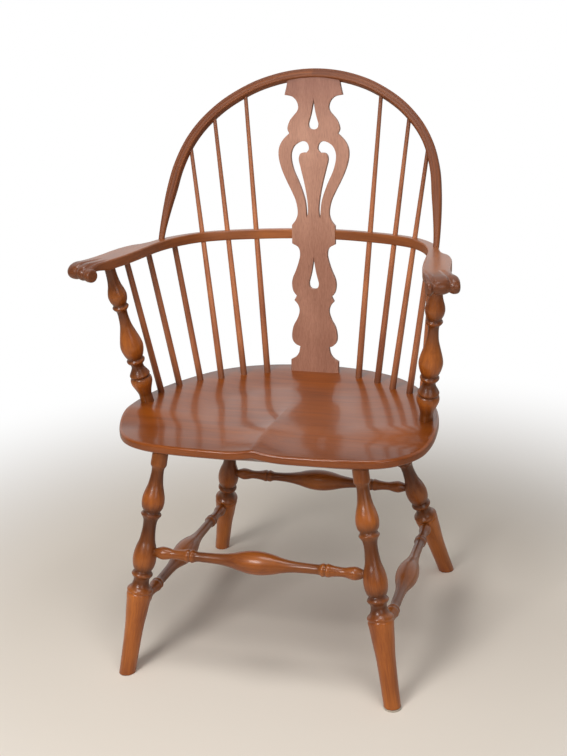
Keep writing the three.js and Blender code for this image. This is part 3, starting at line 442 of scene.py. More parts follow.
def turned_piece(name, stations, start, end, sides, step=0.0012, seed=0, shades=((0, 1),)):
    """Turned work along an axis, with stations of how light its colour is, where toner and painted shade
    darken it. The grain runs along the axis.
    """
    profile = catmull_rom(stations, 24)
    along = np.arange(profile[0, 0], profile[-1, 0] + step / 2, step)
    radius = np.interp(along, profile[:, 0], profile[:, 1])
    angles = np.linspace(0, 2 * math.pi, sides, endpoint=False)
    circle = np.stack([np.cos(angles), np.sin(angles)], axis=1)
    vertices = np.concatenate([
        np.column_stack([circle * r, np.full(sides, z)]) for z, r in zip(along, radius)])
    shade = np.interp(along, *np.array(shades, float).T)
    # Each seed is another place in the wood
    offset = np.array([0.031, 0.047, 0]) * (seed + 2)
    faces = ring_faces(len(along), sides)
    made = new_object(name, vertices, faces, vertices + offset, np.repeat(shade, sides))
    made.data.transform(Matrix.Translation(start) @ UP.rotation_difference(end - start).to_matrix().to_4x4())
    return made


def as_piece(made, slot, material, *nodes, sharp_over=35):
    """Gives a piece its finish, and lets it stand for its CAD nodes."""
    made.data.polygons.foreach_set("use_smooth", [True] * len(made.data.polygons))
    made.data.set_sharp_from_angle(angle=math.radians(sharp_over))
    made.data.materials.clear()
    made.data.materials.append(material)
    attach(made, BODY)
    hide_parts(*nodes)


# Materials

BLACK, WHITE = (0, 0, 0, 1), (1, 1, 1, 1)
LACQUER_IOR = 1.5


def add_node(tree, kind, inputs=(), output=0, stops=(), **settings):
    """Adds a node with its settings, a ramp's stops, and its inputs as values or as other nodes'
    outputs, and gives the output that the next node needs."""
    made = tree.nodes.new(kind)
    for name, value in settings.items():
        setattr(made, name, value)
    for index, (position, colour) in enumerate(stops):
        made.color_ramp.elements[index].position = position
        made.color_ramp.elements[index].color = colour
    for name, value in dict(inputs).items():
        if isinstance(value, bpy.types.NodeSocket):
            tree.links.new(value, made.inputs[name])
        else:
            made.inputs[name].default_value = value
    return made.outputs[output] if made.outputs else None


def new_material(name):
    material = bpy.data.materials.new(name)
    material.use_nodes = True
    material.node_tree.nodes.clear()
    return material


def lacquered_wood(name, dark, light, look):
    """Stained hardwood under sprayed lacquer. The stain gives broad streaks and dark pores along the grain,
    a darker colour that is partly toner and partly painted shade darkens coves and leaves swellings light,
    and the film gives a clear gloss."""
    material = new_material(name)
    tree = material.node_tree
    grain = add_node(tree, "ShaderNodeAttribute", output="Vector", attribute_name="grain")
    shade = add_node(tree, "ShaderNodeAttribute", output="Fac", attribute_name="shade")

    # Width and length in mm, octaves and distortion of what runs along the grain. Growth bands lie about
    # a centimetre apart. Real fibres and pores are finer than a pixel, so they are drawn 1 to 3 mm wide
    patterns = {
        "figure": (look["band_mm"], look["band_mm"] * 16, 2, 0.4),
        "fibre": (look["fibre_mm"], look["fibre_mm"] * look["fibre_long"], 2, 0),
        "mottle": (60, 110, 1, 0),
        "pore": (look["pore_mm"], look["pore_mm"] * 14, 2, 0),
        "waviness": (28, 60, 1, 0),
    }
    noise = {}
    for pattern, (across_mm, along_mm, octaves, distortion) in patterns.items():
        scale = (1000 / across_mm, 1000 / across_mm, 1000 / along_mm)
        placed = add_node(tree, "ShaderNodeMapping", {"Vector": grain, "Scale": scale})
        noise[pattern] = add_node(tree, "ShaderNodeTexNoise", {
            "Vector": placed, "Scale": 1.0, "Detail": octaves, "Roughness": 0.6, "Distortion": distortion})

    # Stain: bands, fibres and mottling from the dark to the light colour
    turns = look["bands"] * 2 * math.pi
    phase = add_node(tree, "ShaderNodeMath", {0: noise["figure"], 1: turns}, operation="MULTIPLY")
    wave = add_node(tree, "ShaderNodeMath", {0: phase}, operation="SINE")
    bands = add_node(tree, "ShaderNodeMath", {0: wave, 1: 0.5, 2: 0.5}, operation="MULTIPLY_ADD")
    mixed = 0.0
    parts = {"mottle_share": noise["mottle"], "fibre_share": noise["fibre"], "band_share": bands}
    for share, part in parts.items():
        mixed = add_node(tree, "ShaderNodeMath", {
            0: part, 1: look[share], 2: mixed}, operation="MULTIPLY_ADD")
    stain = add_node(tree, "ShaderNodeValToRGB", {"Fac": mixed}, stops=[
        (look["dark_at"], dark), (look["light_at"], light)])

    # Open pores: dark dashes in the stain
    open_pore = (look["pore_share"],) * 3 + (1,)
    pores = add_node(tree, "ShaderNodeValToRGB", {"Fac": noise["pore"]}, stops=[
        (0.56, BLACK), (0.72, open_pore)])
    pored = add_node(tree, "ShaderNodeMix", {
        0: pores, 6: stain, 7: linear(look["pore_colour"])}, 2, data_type="RGBA")
    # Toner and painted shade: where the shade attribute is low, a darker colour is multiplied in
    toner_and_shade = add_node(tree, "ShaderNodeValToRGB", {"Fac": shade}, stops=[
        (0.0, linear(look["toner_and_shade"])), (0.75, WHITE)])
    colour = add_node(tree, "ShaderNodeMix", {
        0: look["toner_and_shade_share"], 6: pored, 7: toner_and_shade}, 2, data_type="RGBA", blend_type="MULTIPLY")

    # The film lies over slightly raised grain and is itself a little wavy
    height = 0.0
    for part, rise in ((noise["waviness"], look["waviness"]), (noise["fibre"], 0.012), (pores, -0.02)):
        height = add_node(tree, "ShaderNodeMath", {0: part, 1: rise, 2: height}, operation="MULTIPLY_ADD")
    bump = add_node(tree, "ShaderNodeBump", {
        "Strength": look["relief"], "Distance": 0.001, "Height": height})
    spread = 0.12
    rough = add_node(tree, "ShaderNodeMath", {
        0: noise["fibre"], 1: spread, 2: look["roughness"] - spread / 2}, operation="MULTIPLY_ADD")
    surface = add_node(tree, "ShaderNodeBsdfPrincipled", {
        "Base Color": colour, "Roughness": rough, "IOR": LACQUER_IOR, "Specular IOR Level": look["specular"],
        "Coat Weight": look["coat"], "Coat Roughness": look["coat_roughness"], "Coat IOR": LACQUER_IOR,
        "Normal": bump, "Coat Normal": bump,
    })
    add_node(tree, "ShaderNodeOutputMaterial", {"Surface": surface})
    return material


# The darker colour that a low shade multiplies in is partly toner and partly painted shade
BASE_LOOK = {
    "band_mm": 9, "bands": 2, "fibre_mm": 1.6, "fibre_long": 28, "pore_mm": 0.9,
    "band_share": 0.15, "fibre_share": 0.45, "mottle_share": 0.4, "pore_share": 0.12,
    "dark_at": 0.25, "light_at": 0.75, "pore_colour": "#3b1c0e",
    "toner_and_shade": "#74605a", "toner_and_shade_share": 0.9, "waviness": 0.02, "relief": 1.0,
    "roughness": 0.42, "specular": 0.25, "coat": 0.5, "coat_roughness": 0.22,
}
TURNED_LOOK = {**BASE_LOOK, "band_share": 0.1, "fibre_share": 0.3, "mottle_share": 0.6,
               "coat": 0.45, "coat_roughness": 0.2, "toner_and_shade": "#574642", "dark_at": 0.28, "light_at": 0.7}
LOOKS = {
    "seat_wood": {**BASE_LOOK, "band_mm": 26, "band_share": 0.15, "waviness": 0.06, "roughness": 0.35,
                  "coat": 0.55, "coat_roughness": 0.13, "specular": 0.2, "toner_and_shade_share": 0.85},
    "leg_wood": TURNED_LOOK,
    "post_wood": TURNED_LOOK,
    "stretcher_wood": TURNED_LOOK,
    "arm_wood": {**BASE_LOOK, "coat_roughness": 0.28},
    "bow_wood": {**BASE_LOOK, "coat_roughness": 0.45, "coat": 0.3, "roughness": 0.55, "relief": 0.0,
                 "fibre_share": 0.2, "fibre_mm": 3, "pore_share": 0.02},
    "spindle_wood": TURNED_LOOK,
    "splat_wood": {**BASE_LOOK, "band_mm": 24, "band_share": 0.08, "fibre_mm": 1.5, "fibre_long": 8,
                   "fibre_share": 0.5, "mottle_share": 0.38, "pore_share": 0.3,
                   "coat": 0.3, "coat_roughness": 0.38, "roughness": 0.5, "toner_and_shade": "#a26036"},
}
# The colours of each slot's stain
STAINS = {
    "seat_wood": "seat", "leg_wood": "turned", "post_wood": "turned", "stretcher_wood": "turned",
    "arm_wood": "bent", "bow_wood": "bent", "spindle_wood": "rod", "splat_wood": "splat",
}


def wood_for(slot):
    """The finish of a slot, made once."""
    name = "lacquered " + slot.replace("_", " ")
    dark, light = (tuple(getattr(finish(), STAINS[slot] + tone)) for tone in ("_dark", "_light"))
    return bpy.data.materials.get(name) or lacquered_wood(name, dark, light, LOOKS[slot])


def pressed_felt(name, shadow, colour):
    """Pressed wool felt: matt, with fibres about a millimetre long that soften its edge."""
    fibre_mm = 1.111
    material = new_material(name)
    tree = material.node_tree
    place = add_node(tree, "ShaderNodeTexCoord", output="Object")
    fibres = add_node(tree, "ShaderNodeTexNoise", {"Vector": place, "Scale": 1000 / fibre_mm, "Detail": 3.0})
    # The darker colour in the hollows between the fibres is painted shade
    tint = add_node(tree, "ShaderNodeValToRGB", {"Fac": fibres}, stops=[(0.3, shadow), (0.7, colour)])
    bump = add_node(tree, "ShaderNodeBump", {"Strength": 0.6, "Distance": 0.0005, "Height": fibres})
    surface = add_node(tree, "ShaderNodeBsdfPrincipled", {
        "Base Color": tint, "Roughness": 0.95, "Sheen Weight": 0.3, "Normal": bump})
    add_node(tree, "ShaderNodeOutputMaterial", {"Surface": surface})
    return material


# Places shared by several pieces

def seat_place(across_share, depth_share, height, side=1):
    across = side * across_share * sizes().seat_half_width
    return Vector((across, SEAT_FRONT + depth_share * SEAT_DEPTH, height))


def leg_axis(name):
    place = LEGS[name]
    foot = seat_place(*place["foot"], 0, place["side"])
    top = seat_place(*place["top"], UNDERSIDE_HEIGHT, place["side"])
    return foot, top


def turning_length():
    """The length that the legs' turning is drawn for."""
    foot, top = leg_axis(LIFTED_LEG)
    return (top - foot).length


def arm_measures():
    half_width = ARM_SHARES["width"] * sizes().seat_half_width
    front = SEAT_FRONT + ARM_SHARES["front"] * SEAT_DEPTH
    back = SEAT_FRONT + ARM_SHARES["back"] * SEAT_DEPTH
    return half_width, front, back


def arm_top(y):
    s = sizes()
    _, front, back = arm_measures()
    slope = (s.arm_rise_front - s.arm_rise_back) / (back - front)
    return RIM_HEIGHT + s.arm_rise_back + slope * (back - y)


def arm_place(across_share, depth_share, side=1):
    half_width, front, back = arm_measures()
    return Vector((side * across_share * half_width, front + depth_share * (back - front), 0))


def rail_line():
    """The rail's middle line, from the right hand round the back to the left hand."""
    return Line([arm_place(*shares) for shares in with_mirror(ARM_PLAN_SHARES[::-1])])


def rail_point(line, share, side):
    point = line.at(0.5 - 0.5 * share)
    return Vector((side * abs(point.x), point.y, arm_top(point.y) - sizes().arm_thickness))


def bow_measures():
    s = sizes()
    half_width = BOW_SHARES["width"] * arm_measures()[0]
    foot_height = RIM_HEIGHT + s.arm_rise_back - s.bow_foot_drop
    foot = Vector((0, SEAT_FRONT + BOW_SHARES["foot"] * SEAT_DEPTH, foot_height))
    top = Vector((0, SEAT_FRONT + BOW_SHARES["top"] * SEAT_DEPTH, foot_height + s.bow_rise))
    return half_width, foot, top


def bow_line():
    """The bow's middle line, from its right foot over the top to its left foot."""
    half_width, foot, top = bow_measures()
    return Line([Vector((x * half_width, 0, 0)) + foot.lerp(top, up)
                 for x, up in with_mirror(BOW_PLAN_SHARES)])


def bow_backward():
    _, foot, top = bow_measures()
    return Vector((0, top.z - foot.z, foot.y - top.y)).normalized()


def bow_point(line, share, side):
    point = line.at(0.5 - 0.5 * share)
    return Vector((side * abs(point.x), point.y, point.z))


# Pieces

class CHAIR_OT_stage(bpy.types.Operator):
    """Set up the floor, the soft lamps and the camera"""
    bl_idname = "chair.stage"
    bl_label = "Stage"

    floor_half = 30.0
    # Between these distances from the chair the floor passes into the white of the backdrop
    floor_until, white_from = 0.5, 1.5
    # Light from all round, and what gloss mirrors: a dim room in front and the white backdrop behind
    even_light, mirrored_front, mirrored_back = 0.22, 0.18, 1.0
    front_until, back_from = -0.15, 0.45
    # Name, place, diameter in metres and power in watts
    lamps = [
        ("key", (-0.7, -2.3, 1.9), 1.0, 40),
        ("fill", (1.7, -2.1, 1.4), 1.4, 13),
        ("top", (0.1, -0.5, 3.1), 1.2, 30),
    ]
    lamp_aim = (0, 0, 0.5)
    # Direction in degrees, distance and target in metres, and focal length as a share of the sensor
    azimuth, elevation, roll = 17.79, 19.88, -2.53
    distance, target = 2.2879, (0.0193, -0.0462, 0.4927)
    focal_share, sensor_mm, shifts = 1268.45 / 756, 36, (-0.0075, 0.0174)

    def execute(self, context):
        half = self.floor_half
        corners = [(-half, -half, 0), (half, -half, 0), (half, half, 0), (-half, half, 0)]
        floor = new_object("floor", corners, [(0, 1, 2, 3)])
        floor.data.materials.append(self.floor_material())
        context.scene.world = self.soft_world()
        self.add_lamps()
        context.scene.camera = self.add_camera()
        context.scene.view_settings.view_transform = "Standard"
        return {"FINISHED"}

    def floor_material(self):
        """Matt painted floor, pale and even, so that only the chair's soft shadow shows on it."""
        material = new_material("matt pale floor")
        tree = material.node_tree
        matt = add_node(tree, "ShaderNodeBsdfDiffuse", {"Color": tuple(finish().floor)})
        white = add_node(tree, "ShaderNodeEmission", {"Color": WHITE, "Strength": 1.0})
        place = add_node(tree, "ShaderNodeTexCoord", output="Object")
        reach = add_node(tree, "ShaderNodeVectorMath", {0: place}, "Value", operation="LENGTH")
        far = add_node(tree, "ShaderNodeMapRange", {
            "Value": reach, "From Min": self.floor_until, "From Max": self.white_from},
            interpolation_type="SMOOTHSTEP")
        seen = add_node(tree, "ShaderNodeLightPath", output="Is Camera Ray")
        share = add_node(tree, "ShaderNodeMath", {0: far, 1: seen}, operation="MULTIPLY")
        surface = add_node(tree, "ShaderNodeMixShader", {0: share, 1: matt, 2: white})
        add_node(tree, "ShaderNodeOutputMaterial", {"Surface": surface})
        return material

    def soft_world(self):
        """Even soft light. The camera sees it as a white backdrop, and glossy surfaces see that
        backdrop behind the chair and a dimmer room before it."""
        world = bpy.data.worlds.new("soft studio")
        world.use_nodes = True
        tree = world.node_tree
        tree.nodes.clear()
        camera, glossy, transmission = (
            add_node(tree, "ShaderNodeLightPath", output="Is %s Ray" % kind)
            for kind in ("Camera", "Glossy", "Transmission"))
        direct = add_node(tree, "ShaderNodeMath", {0: camera, 1: transmission}, operation="MAXIMUM")
        way = add_node(tree, "ShaderNodeTexCoord", output="Generated")
        depth = add_node(tree, "ShaderNodeSeparateXYZ", {"Vector": way}, "Y")
        mirrored = add_node(tree, "ShaderNodeMapRange", {
            "Value": depth, "From Min": self.front_until, "From Max": self.back_from,
            "To Min": self.mirrored_front, "To Max": self.mirrored_back})
        even = add_node(tree, "ShaderNodeMix", {0: glossy, 2: self.even_light, 3: mirrored})
        strength = add_node(tree, "ShaderNodeMix", {0: direct, 2: even, 3: 1.0})
        light = add_node(tree, "ShaderNodeBackground", {"Color": WHITE, "Strength": strength})
        add_node(tree, "ShaderNodeOutputWorld", {"Surface": light})
        return world

    def add_lamps(self):
        for name, place, diameter, power in self.lamps:
            light = bpy.data.lights.new(name, "AREA")
            light.shape = "DISK"
            light.size = diameter
            light.energy = power
            lamp = linked(name, light)
            lamp.location = place
            way = Vector(self.lamp_aim) - Vector(place)
            lamp.rotation_euler = way.to_track_quat("-Z", "Y").to_euler()

    def add_camera(self):
        azimuth, elevation, roll = (math.radians(a) for a in (self.azimuth, self.elevation, self.roll))
        back = Vector((math.sin(azimuth) * math.cos(elevation), -math.cos(azimuth) * math.cos(elevation),
                       math.sin(elevation)))
        right = Vector((math.cos(azimuth), math.sin(azimuth), 0))
        upward = back.cross(right)
        rolled_right = right * math.cos(roll) + upward * math.sin(roll)
        rolled_up = upward * math.cos(roll) - right * math.sin(roll)
        turn = Matrix((rolled_right, rolled_up, back)).transposed().to_4x4()
        data = bpy.data.cameras.new("camera")
        data.sensor_width = self.sensor_mm
        data.lens = self.focal_share * self.sensor_mm
        data.shift_x, data.shift_y = self.shifts
        camera = linked("camera", data)
        camera.matrix_world = Matrix.Translation(Vector(self.target) + back * self.distance) @ turn
        return camera


class CHAIR_OT_seat(bpy.types.Operator):
    """Carve the seat: a thick plank, hollowed, with a ridge at the front and a rounded edge"""
    bl_idname = "chair.seat"
    bl_label = "Seat"

    spokes, ring_count, span_points = 264, 44, 30
    first_ring, last_ring, lower_radius = 0.02, 0.985, 0.003
    # Steps of the bevel under the edge, and how far in the flat underside starts
    bevel_shares, flat_inset = (0.25, 0.5, 0.75, 0.93, 1.0), 0.004
    # How light the colour is: darker towards the rim, painted shade on the upright edge and underneath, and
    # on the arris partly wear, partly a painted highlight
    shades = {"top": 0.8, "rim": 0.52, "arris": 0.95, "edge": 0.58, "under": 0.3}
    rim_from, rim_to, arris_share = 0.74, 0.96, 0.6
    grain_offset = (0.4, 0.2, 0.7)

    def top_height(self, x, y, ring_share):
        s = sizes()
        depth_share = (y - SEAT_FRONT) / SEAT_DEPTH
        opened = 1 - smoothstep(depth_share, DISH_OPEN_SHARES["from"], DISH_OPEN_SHARES["to"])
        hollow = 1 - smoothstep(ring_share, DISH_SHARES["floor"], DISH_SHARES["rim"])
        front = 1 - smoothstep(depth_share, POMMEL_SHARES["full"], POMMEL_SHARES["gone"])
        ridge = np.maximum(0, 1 - np.abs(x) / s.pommel_half_width) ** 2
        dish = s.dish_depth * (hollow + (1 - hollow) * opened)
        drop = (s.edge_drop - s.dish_depth) * opened * ring_share ** 4
        return RIM_HEIGHT - dish - drop + s.pommel_rise * ridge * front

    def edge_profile(self):
        """Steps round the edge as inset from the outline and height below the top."""
        radius, lower, edge = sizes().seat_rounding, self.lower_radius, sizes().seat_edge
        steps = [(radius * (1 - math.sin(a)), radius * (1 - math.cos(a)))
                 for a in np.linspace(0, math.pi / 2, 7)]
        steps += [(lower * (1 - math.cos(a)), edge - lower * (1 - math.sin(a)))
                  for a in np.linspace(0, math.pi / 3, 5)]
        return steps

    def execute(self, context):
        s, shade = sizes(), self.shades
        outline = catmull_rom([seat_place(*shares, 0) for shares in with_mirror(SEAT_OUTLINE_SHARES)],
                              self.span_points)
        lengths = np.concatenate([[0], np.cumsum(np.linalg.norm(np.diff(outline, axis=0), axis=1))])
        places = np.linspace(0, lengths[-1], self.spokes, endpoint=False)
        loop = np.stack([np.interp(places, lengths, column) for column in outline.T], axis=1)
        centre = np.array(seat_place(0, SEAT_MIDDLE_SHARE, 0))
        outward = loop - centre
        reach = np.linalg.norm(outward, axis=1)[:, None]
        rings, shades = [], []

        def ring(share, inset):
            found = centre + outward * share * (reach - inset) / reach
            return found[:, 0], found[:, 1]

        def add(x, y, height, lightness):
            rings.append(np.stack([x, y, height], axis=1))
            shades.append(lightness)

        for share in np.linspace(self.first_ring, self.last_ring, self.ring_count):
            x, y = ring(share, 0)
            darker = (shade["top"] - shade["rim"]) * float(smoothstep(share, self.rim_from, self.rim_to))
            add(x, y, self.top_height(x, y, share), shade["top"] - darker)
        for inset, lowered in self.edge_profile():
            x, y = ring(1, inset)
            # The arris is lighter, partly wear and partly a painted highlight; the upright edge below it has
            # painted shade
            on_arris = lowered < s.seat_rounding * self.arris_share
            add(x, y, self.top_height(x, y, 1) - lowered, shade["arris" if on_arris else "edge"])
        lower = self.top_height(*ring(1, 0.001), 1) - s.seat_edge
        # Painted shade on the bevel and the flat underside
        for share in self.bevel_shares:
            add(*ring(1, s.seat_inset * share), lower + (UNDERSIDE_HEIGHT - lower) * share, shade["under"])
        add(*ring(1, s.seat_inset + self.flat_inset), np.full(self.spokes, UNDERSIDE_HEIGHT), shade["under"])

        vertices = np.concatenate(rings)
        grain = vertices[:, [1, 2, 0]] + np.array(self.grain_offset)
        made = new_object("seat_wood", vertices, ring_faces(len(rings), self.spokes), grain,
                          np.repeat(shades, self.spokes))
        edited(made)
        as_piece(made, "seat_wood", wood_for("seat_wood"), "seat")
        return {"FINISHED"}


class CHAIR_OT_legs(bpy.types.Operator):
    """Turn the four legs and set the disc under the lifted one"""
    bl_idname = "chair.legs"
    bl_label = "Legs"

    sides, into_seat, disc_gap = 48, 0.009, 0.0003
    foot_rounding, disc_rounding = 0.0015, 0.0007

    def execute(self, context):
        length, radius = turning_length(), sizes().leg_diameter / 2
        for seed, (name, place) in enumerate(LEGS.items()):
            foot, top = leg_axis(name)
            stations = [(a * length - place["trim"], d * radius) for a, d in LEG_TURNING_SHARES]
            stations[-1] = ((top - foot).length + self.into_seat, stations[-1][1])
            shades = [(a * length - place["trim"], shade) for a, shade in LEG_SHADES]
            made = turned_piece(name + "_wood", stations, foot, top, self.sides, seed=seed, shades=shades)
            lift = sizes().disc_thickness + self.disc_gap if name == LIFTED_LEG else 0
            cut(made, Vector((0, 0, lift)), -UP)
            edited(made, self.round_foot)
            as_piece(made, "leg_wood", wood_for("leg_wood"), name)
        self.add_disc()
        return {"FINISHED"}

    def round_foot(self, working):
        face = min(working.faces, key=lambda f: f.calc_center_median().z)
        bmesh.ops.bevel(working, geom=face.edges[:], offset=self.foot_rounding, segments=3, profile=0.5,
                        affect="EDGES")

    def add_disc(self):
        low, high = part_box("foot_disc")
        radius, rounding = (high.x - low.x) / 2, self.disc_rounding
        stations = [(0, radius - rounding), (rounding, radius),
                    (high.z - rounding, radius), (high.z, radius - rounding)]
        start = Vector(((low.x + high.x) / 2, (low.y + high.y) / 2, 0))
        made = turned_piece("foot_disc_felt", stations, start, start + UP, self.sides, step=0.0003)
        felt = pressed_felt("pressed felt", tuple(finish().felt_dark), tuple(finish().felt_light))
        as_piece(made, "felt", felt, "foot_disc")


class CHAIR_OT_stretchers(bpy.types.Operator):
    """Turn the four stretchers"""
    bl_idname = "chair.stretchers"
    bl_label = "Stretchers"

    sides, into_leg, first_seed = 40, 0.004, 5

    def execute(self, context):
        radius = sizes().stretcher_diameter / 2
        for index, (name, (first, second, height)) in enumerate(STRETCHERS.items()):
            ends = [foot.lerp(top, height / UNDERSIDE_HEIGHT)
                    for foot, top in (leg_axis(first), leg_axis(second))]
            near = self.leg_radius(first, ends[0])
            far = (ends[1] - ends[0]).length - self.leg_radius(second, ends[1])
            stations = self.along(near, far, STRETCHER_END_SHARES, STRETCHER_SWELL_SHARES, radius)
            end_radius = stations[0][1]
            stations = [(near - self.into_leg, end_radius)] + stations + [(far + self.into_leg, end_radius)]
            shades = self.along(near, far, STRETCHER_END_SHADES, STRETCHER_SWELL_SHADES)
            made = turned_piece(name + "_wood", stations, *ends, self.sides,
                                seed=index + self.first_seed, shades=shades)
            as_piece(made, "stretcher_wood", wood_for("stretcher_wood"), name)
        return {"FINISHED"}

    def along(self, near, far, at_end, at_swell, scale=1):
        """Values along a stretcher from its end's and its swelling's tables, alike in both halves."""
        middle = (near + far) / 2
        half = [(near + a * sizes().stretcher_end, value * scale) for a, value in at_end]
        half += [(middle + a * sizes().stretcher_swell, value * scale) for a, value in at_swell]
        return half + [(near + far - place, value) for place, value in half[::-1]]

    def leg_radius(self, leg, point):
        foot, _ = leg_axis(leg)
        along = ((point - foot).length + LEGS[leg]["trim"]) / turning_length()
        return np.interp(along, *np.array(LEG_TURNING_SHARES).T) * sizes().leg_diameter / 2


class CHAIR_OT_arms(bpy.types.Operator):
    """Bend the arm rail, and carve its two hands and knuckles in one with it"""
    bl_idname = "chair.arms"
    bl_label = "Arm rail, hands and knuckles"

    # Grooves that run back from the seams between the fingers and fade
    groove_length, groove_depth, groove_half_width = 0.05, 0.004, 0.005
    groove_ahead, groove_fade = 0.01, 0.7
    # How much thinner a finger is at its seams and at its free ends, and how squarely it falls away
    seam_drop, end_drop, inner_end_drop = 0.0036, 0.0032, 0.0014
    seam_power, end_power, inner_end_power = 2.2, 4, 5
    # The inner finger is longer at one side, thinner, and lies lower and further forward
    inner_finger_longer = {"left": 0.005, "right": 0.0}
    inner_finger_thinner, inner_finger_lower, inner_finger_ahead = 0.0014, 0.002, 0.0014
    # The top falls, ever steeper, till it meets the scroll
    fall_from, fall_bend = {"inner": 0.0269, "outer": 0.012}, {"inner": 7.3, "outer": 15.5}
    fall_blend = 0.003
    scroll_radius, scroll_forward, scroll_drop, meets_ahead = 0.0132, 0.0021, 0.0168, 0.0066
    # A place inside the bend, which tells the strip's outer side
    inside = (0, -0.05, 0)
    # The underside is hollowed a little behind the scroll
    hollow_depth, hollow_from, hollow_to = 0.004, 0.048, 0.016
    # The edges are rounder near the fingers, and the hand's edge eases out of the strip's
    rounding, finger_rounding, rounder_within = 0.0026, 0.0065, 0.03
    easing, hand_share = 0.004, 0.66
    top_points, low_points, corner_points, finger_sides = 41, 7, 5, 64
    rail_steps, block_steps, finger_steps, finger_rings = 330, 120, 24, 30
    carving_step, smoothing = 0.00095, 12
    # The share of the rail's length that each carving takes, its overlap, and the seam to the rail
    carved_share, overlap, seam = 0.105, 0.01, 0.0015
    # How light the colour is along the rail from the left hand to the right one, and darker on the knuckles
    rail_shades = [
        (-0.3, 0.5), (-0.13, 0.45), (-0.09, 0.8), (-0.03, 0.8), (0.05, 0.5), (0.12, 0.42), (0.3, 0.6),
    ]
    knuckle_shade, knuckle_reach = 0.15, 0.06
    grain_offset = (0.2, -0.5)

    def prepare(self):
        self.line = rail_line()
        inner, outer = (arm_place(*KNUCKLE_SHARES[end]) for end in ("inner", "outer"))
        along = (outer - inner).normalized()
        self.forward = Vector((along.y, -along.x, 0)).normalized()
        for point in (inner, outer):
            point += self.forward * self.scroll_forward
            point.z = arm_top(point.y) - self.scroll_drop
        self.inner, self.outer = inner, outer
        self.length = (outer - inner).length
        self.along = (outer - inner).normalized()
        self.outline = catmull_rom([arm_place(*shares) for shares in HAND_OUTLINE_SHARES], 12)[:, :2]

    def outer_reach(self, middle, across, half_width):
        """How far the hand's outer edge lies from the rail's middle, eased out of the strip's edge."""
        origin, ray = np.array(middle[:2]), np.array(across[:2])
        starts, steps = self.outline[:-1] - origin, np.diff(self.outline, axis=0)
        crossing = ray[0] * steps[:, 1] - ray[1] * steps[:, 0]
        crossing = np.where(np.abs(crossing) < 1e-12, 1e-12, crossing)
        distance = (starts[:, 0] * steps[:, 1] - starts[:, 1] * steps[:, 0]) / crossing
        share = (starts[:, 0] * ray[1] - starts[:, 1] * ray[0]) / crossing
        hits = distance[(share >= 0) & (share <= 1) & (distance > 0)]
        if not len(hits):
            return half_width
        excess = hits.min() - half_width
        return half_width + 0.5 * (excess + math.sqrt(excess ** 2 + self.easing ** 2))

    def behind(self, point):
        return -(point - self.inner).dot(self.forward)

    def groove(self, point):
        """How deep the grooves between the fingers are at a point of the top."""
        across, behind = (point - self.inner).dot(self.along), self.behind(point)
        if not -self.groove_ahead <= behind <= self.groove_length:
            return 0.0
        start, depth = 0.0, 0.0
        fading = (1 - max(behind, 0) / self.groove_length) ** self.groove_fade
        for share in self.widths[:-1]:
            start += share * self.length
            nearness = max(0.0, 1 - abs(across - start) / self.groove_half_width)
            depth = max(depth, self.groove_depth * (3 * nearness ** 2 - 2 * nearness ** 3) * fading)
        return depth

    def fall(self, point):
        """How far the top has fallen at a point."""
        across, behind = (point - self.inner).dot(self.along), self.behind(point)
        seam = self.widths[0] * self.length
        outer = float(smoothstep(across, seam - self.fall_blend, seam + self.fall_blend))
        falls = {part: bend * max(self.fall_from[part] - behind, 0) ** 2
                 for part, bend in self.fall_bend.items()}
        return falls["inner"] + (falls["outer"] - falls["inner"]) * outer

    def section(self, share):
        """One loop round the strip."""
        s = sizes()
        middle, tangent = self.line.at(share), self.line.tangent(share)
        across = Vector((-tangent.y, tangent.x, 0)).normalized()
        if across.dot(middle - Vector(self.inside)) < 0:
            across = -across
        _, front, back = arm_measures()
        depth_share = (middle.y - front) / (back - front)
        widening = float(1 - smoothstep(depth_share, ARM_WIDENS_SHARES["to"], ARM_WIDENS_SHARES["from"]))
        half = (s.arm_width_back + (s.arm_width_side - s.arm_width_back) * widening) / 2
        right = Vector((abs(middle.x), middle.y, middle.z))
        right_across = Vector((abs(across.x) if middle.x else 0, across.y, 0))
        outer = self.outer_reach(right, right_across, half) if depth_share < self.hand_share else half
        behind = self.behind(right)
        near = float(1 - smoothstep(behind, 0.0, self.rounder_within))
        hollow = self.hollow_depth * float(1 - smoothstep(behind, self.hollow_to, self.hollow_from))
        loop = []

        def add(side, up, grooved=False):
            corner = middle + across * side
            place = right + right_across * float(side)
            place.z = self.inner.z
            corner.z = arm_top(corner.y) + up
            if up > -0.5 * s.arm_thickness:
                corner.z -= self.fall(place) + (self.groove(place) if grooved else 0)
            loop.append(corner)

        def round_off(side, up, radius, angles):
            for angle in angles:
                add(side + radius * math.cos(angle), up + radius * math.sin(angle))

        quarter, corners = math.pi / 2, self.corner_points
        radius, low = self.rounding, -s.arm_thickness + hollow
        top_radius = radius + (self.finger_rounding - radius) * near
        round_off(-half + top_radius, -top_radius, top_radius,
                  np.linspace(2 * quarter, quarter, corners, endpoint=False))
        for side in np.linspace(-half + top_radius, outer - top_radius, self.top_points):
            add(side, 0, grooved=True)
        round_off(outer - top_radius, -top_radius, top_radius, np.linspace(quarter, 0, corners + 1)[1:])
        round_off(outer - radius, low + radius, radius, np.linspace(0, -quarter, corners))
        for side in np.linspace(outer - radius, -half + radius, self.low_points)[1:-1]:
            add(side, low)
        round_off(-half + radius, low + radius, radius, np.linspace(-quarter, -2 * quarter, corners))
        return loop

    def strip(self, name, share_from, share_to, steps, closed_ends):
        loops = [self.section(share) for share in np.linspace(share_from, share_to, steps + 1)]
        vertices = [point for loop in loops for point in loop]
        made = new_object(name, vertices, ring_faces(steps + 1, len(loops[0]), closed_ends))
        edited(made)
        return made

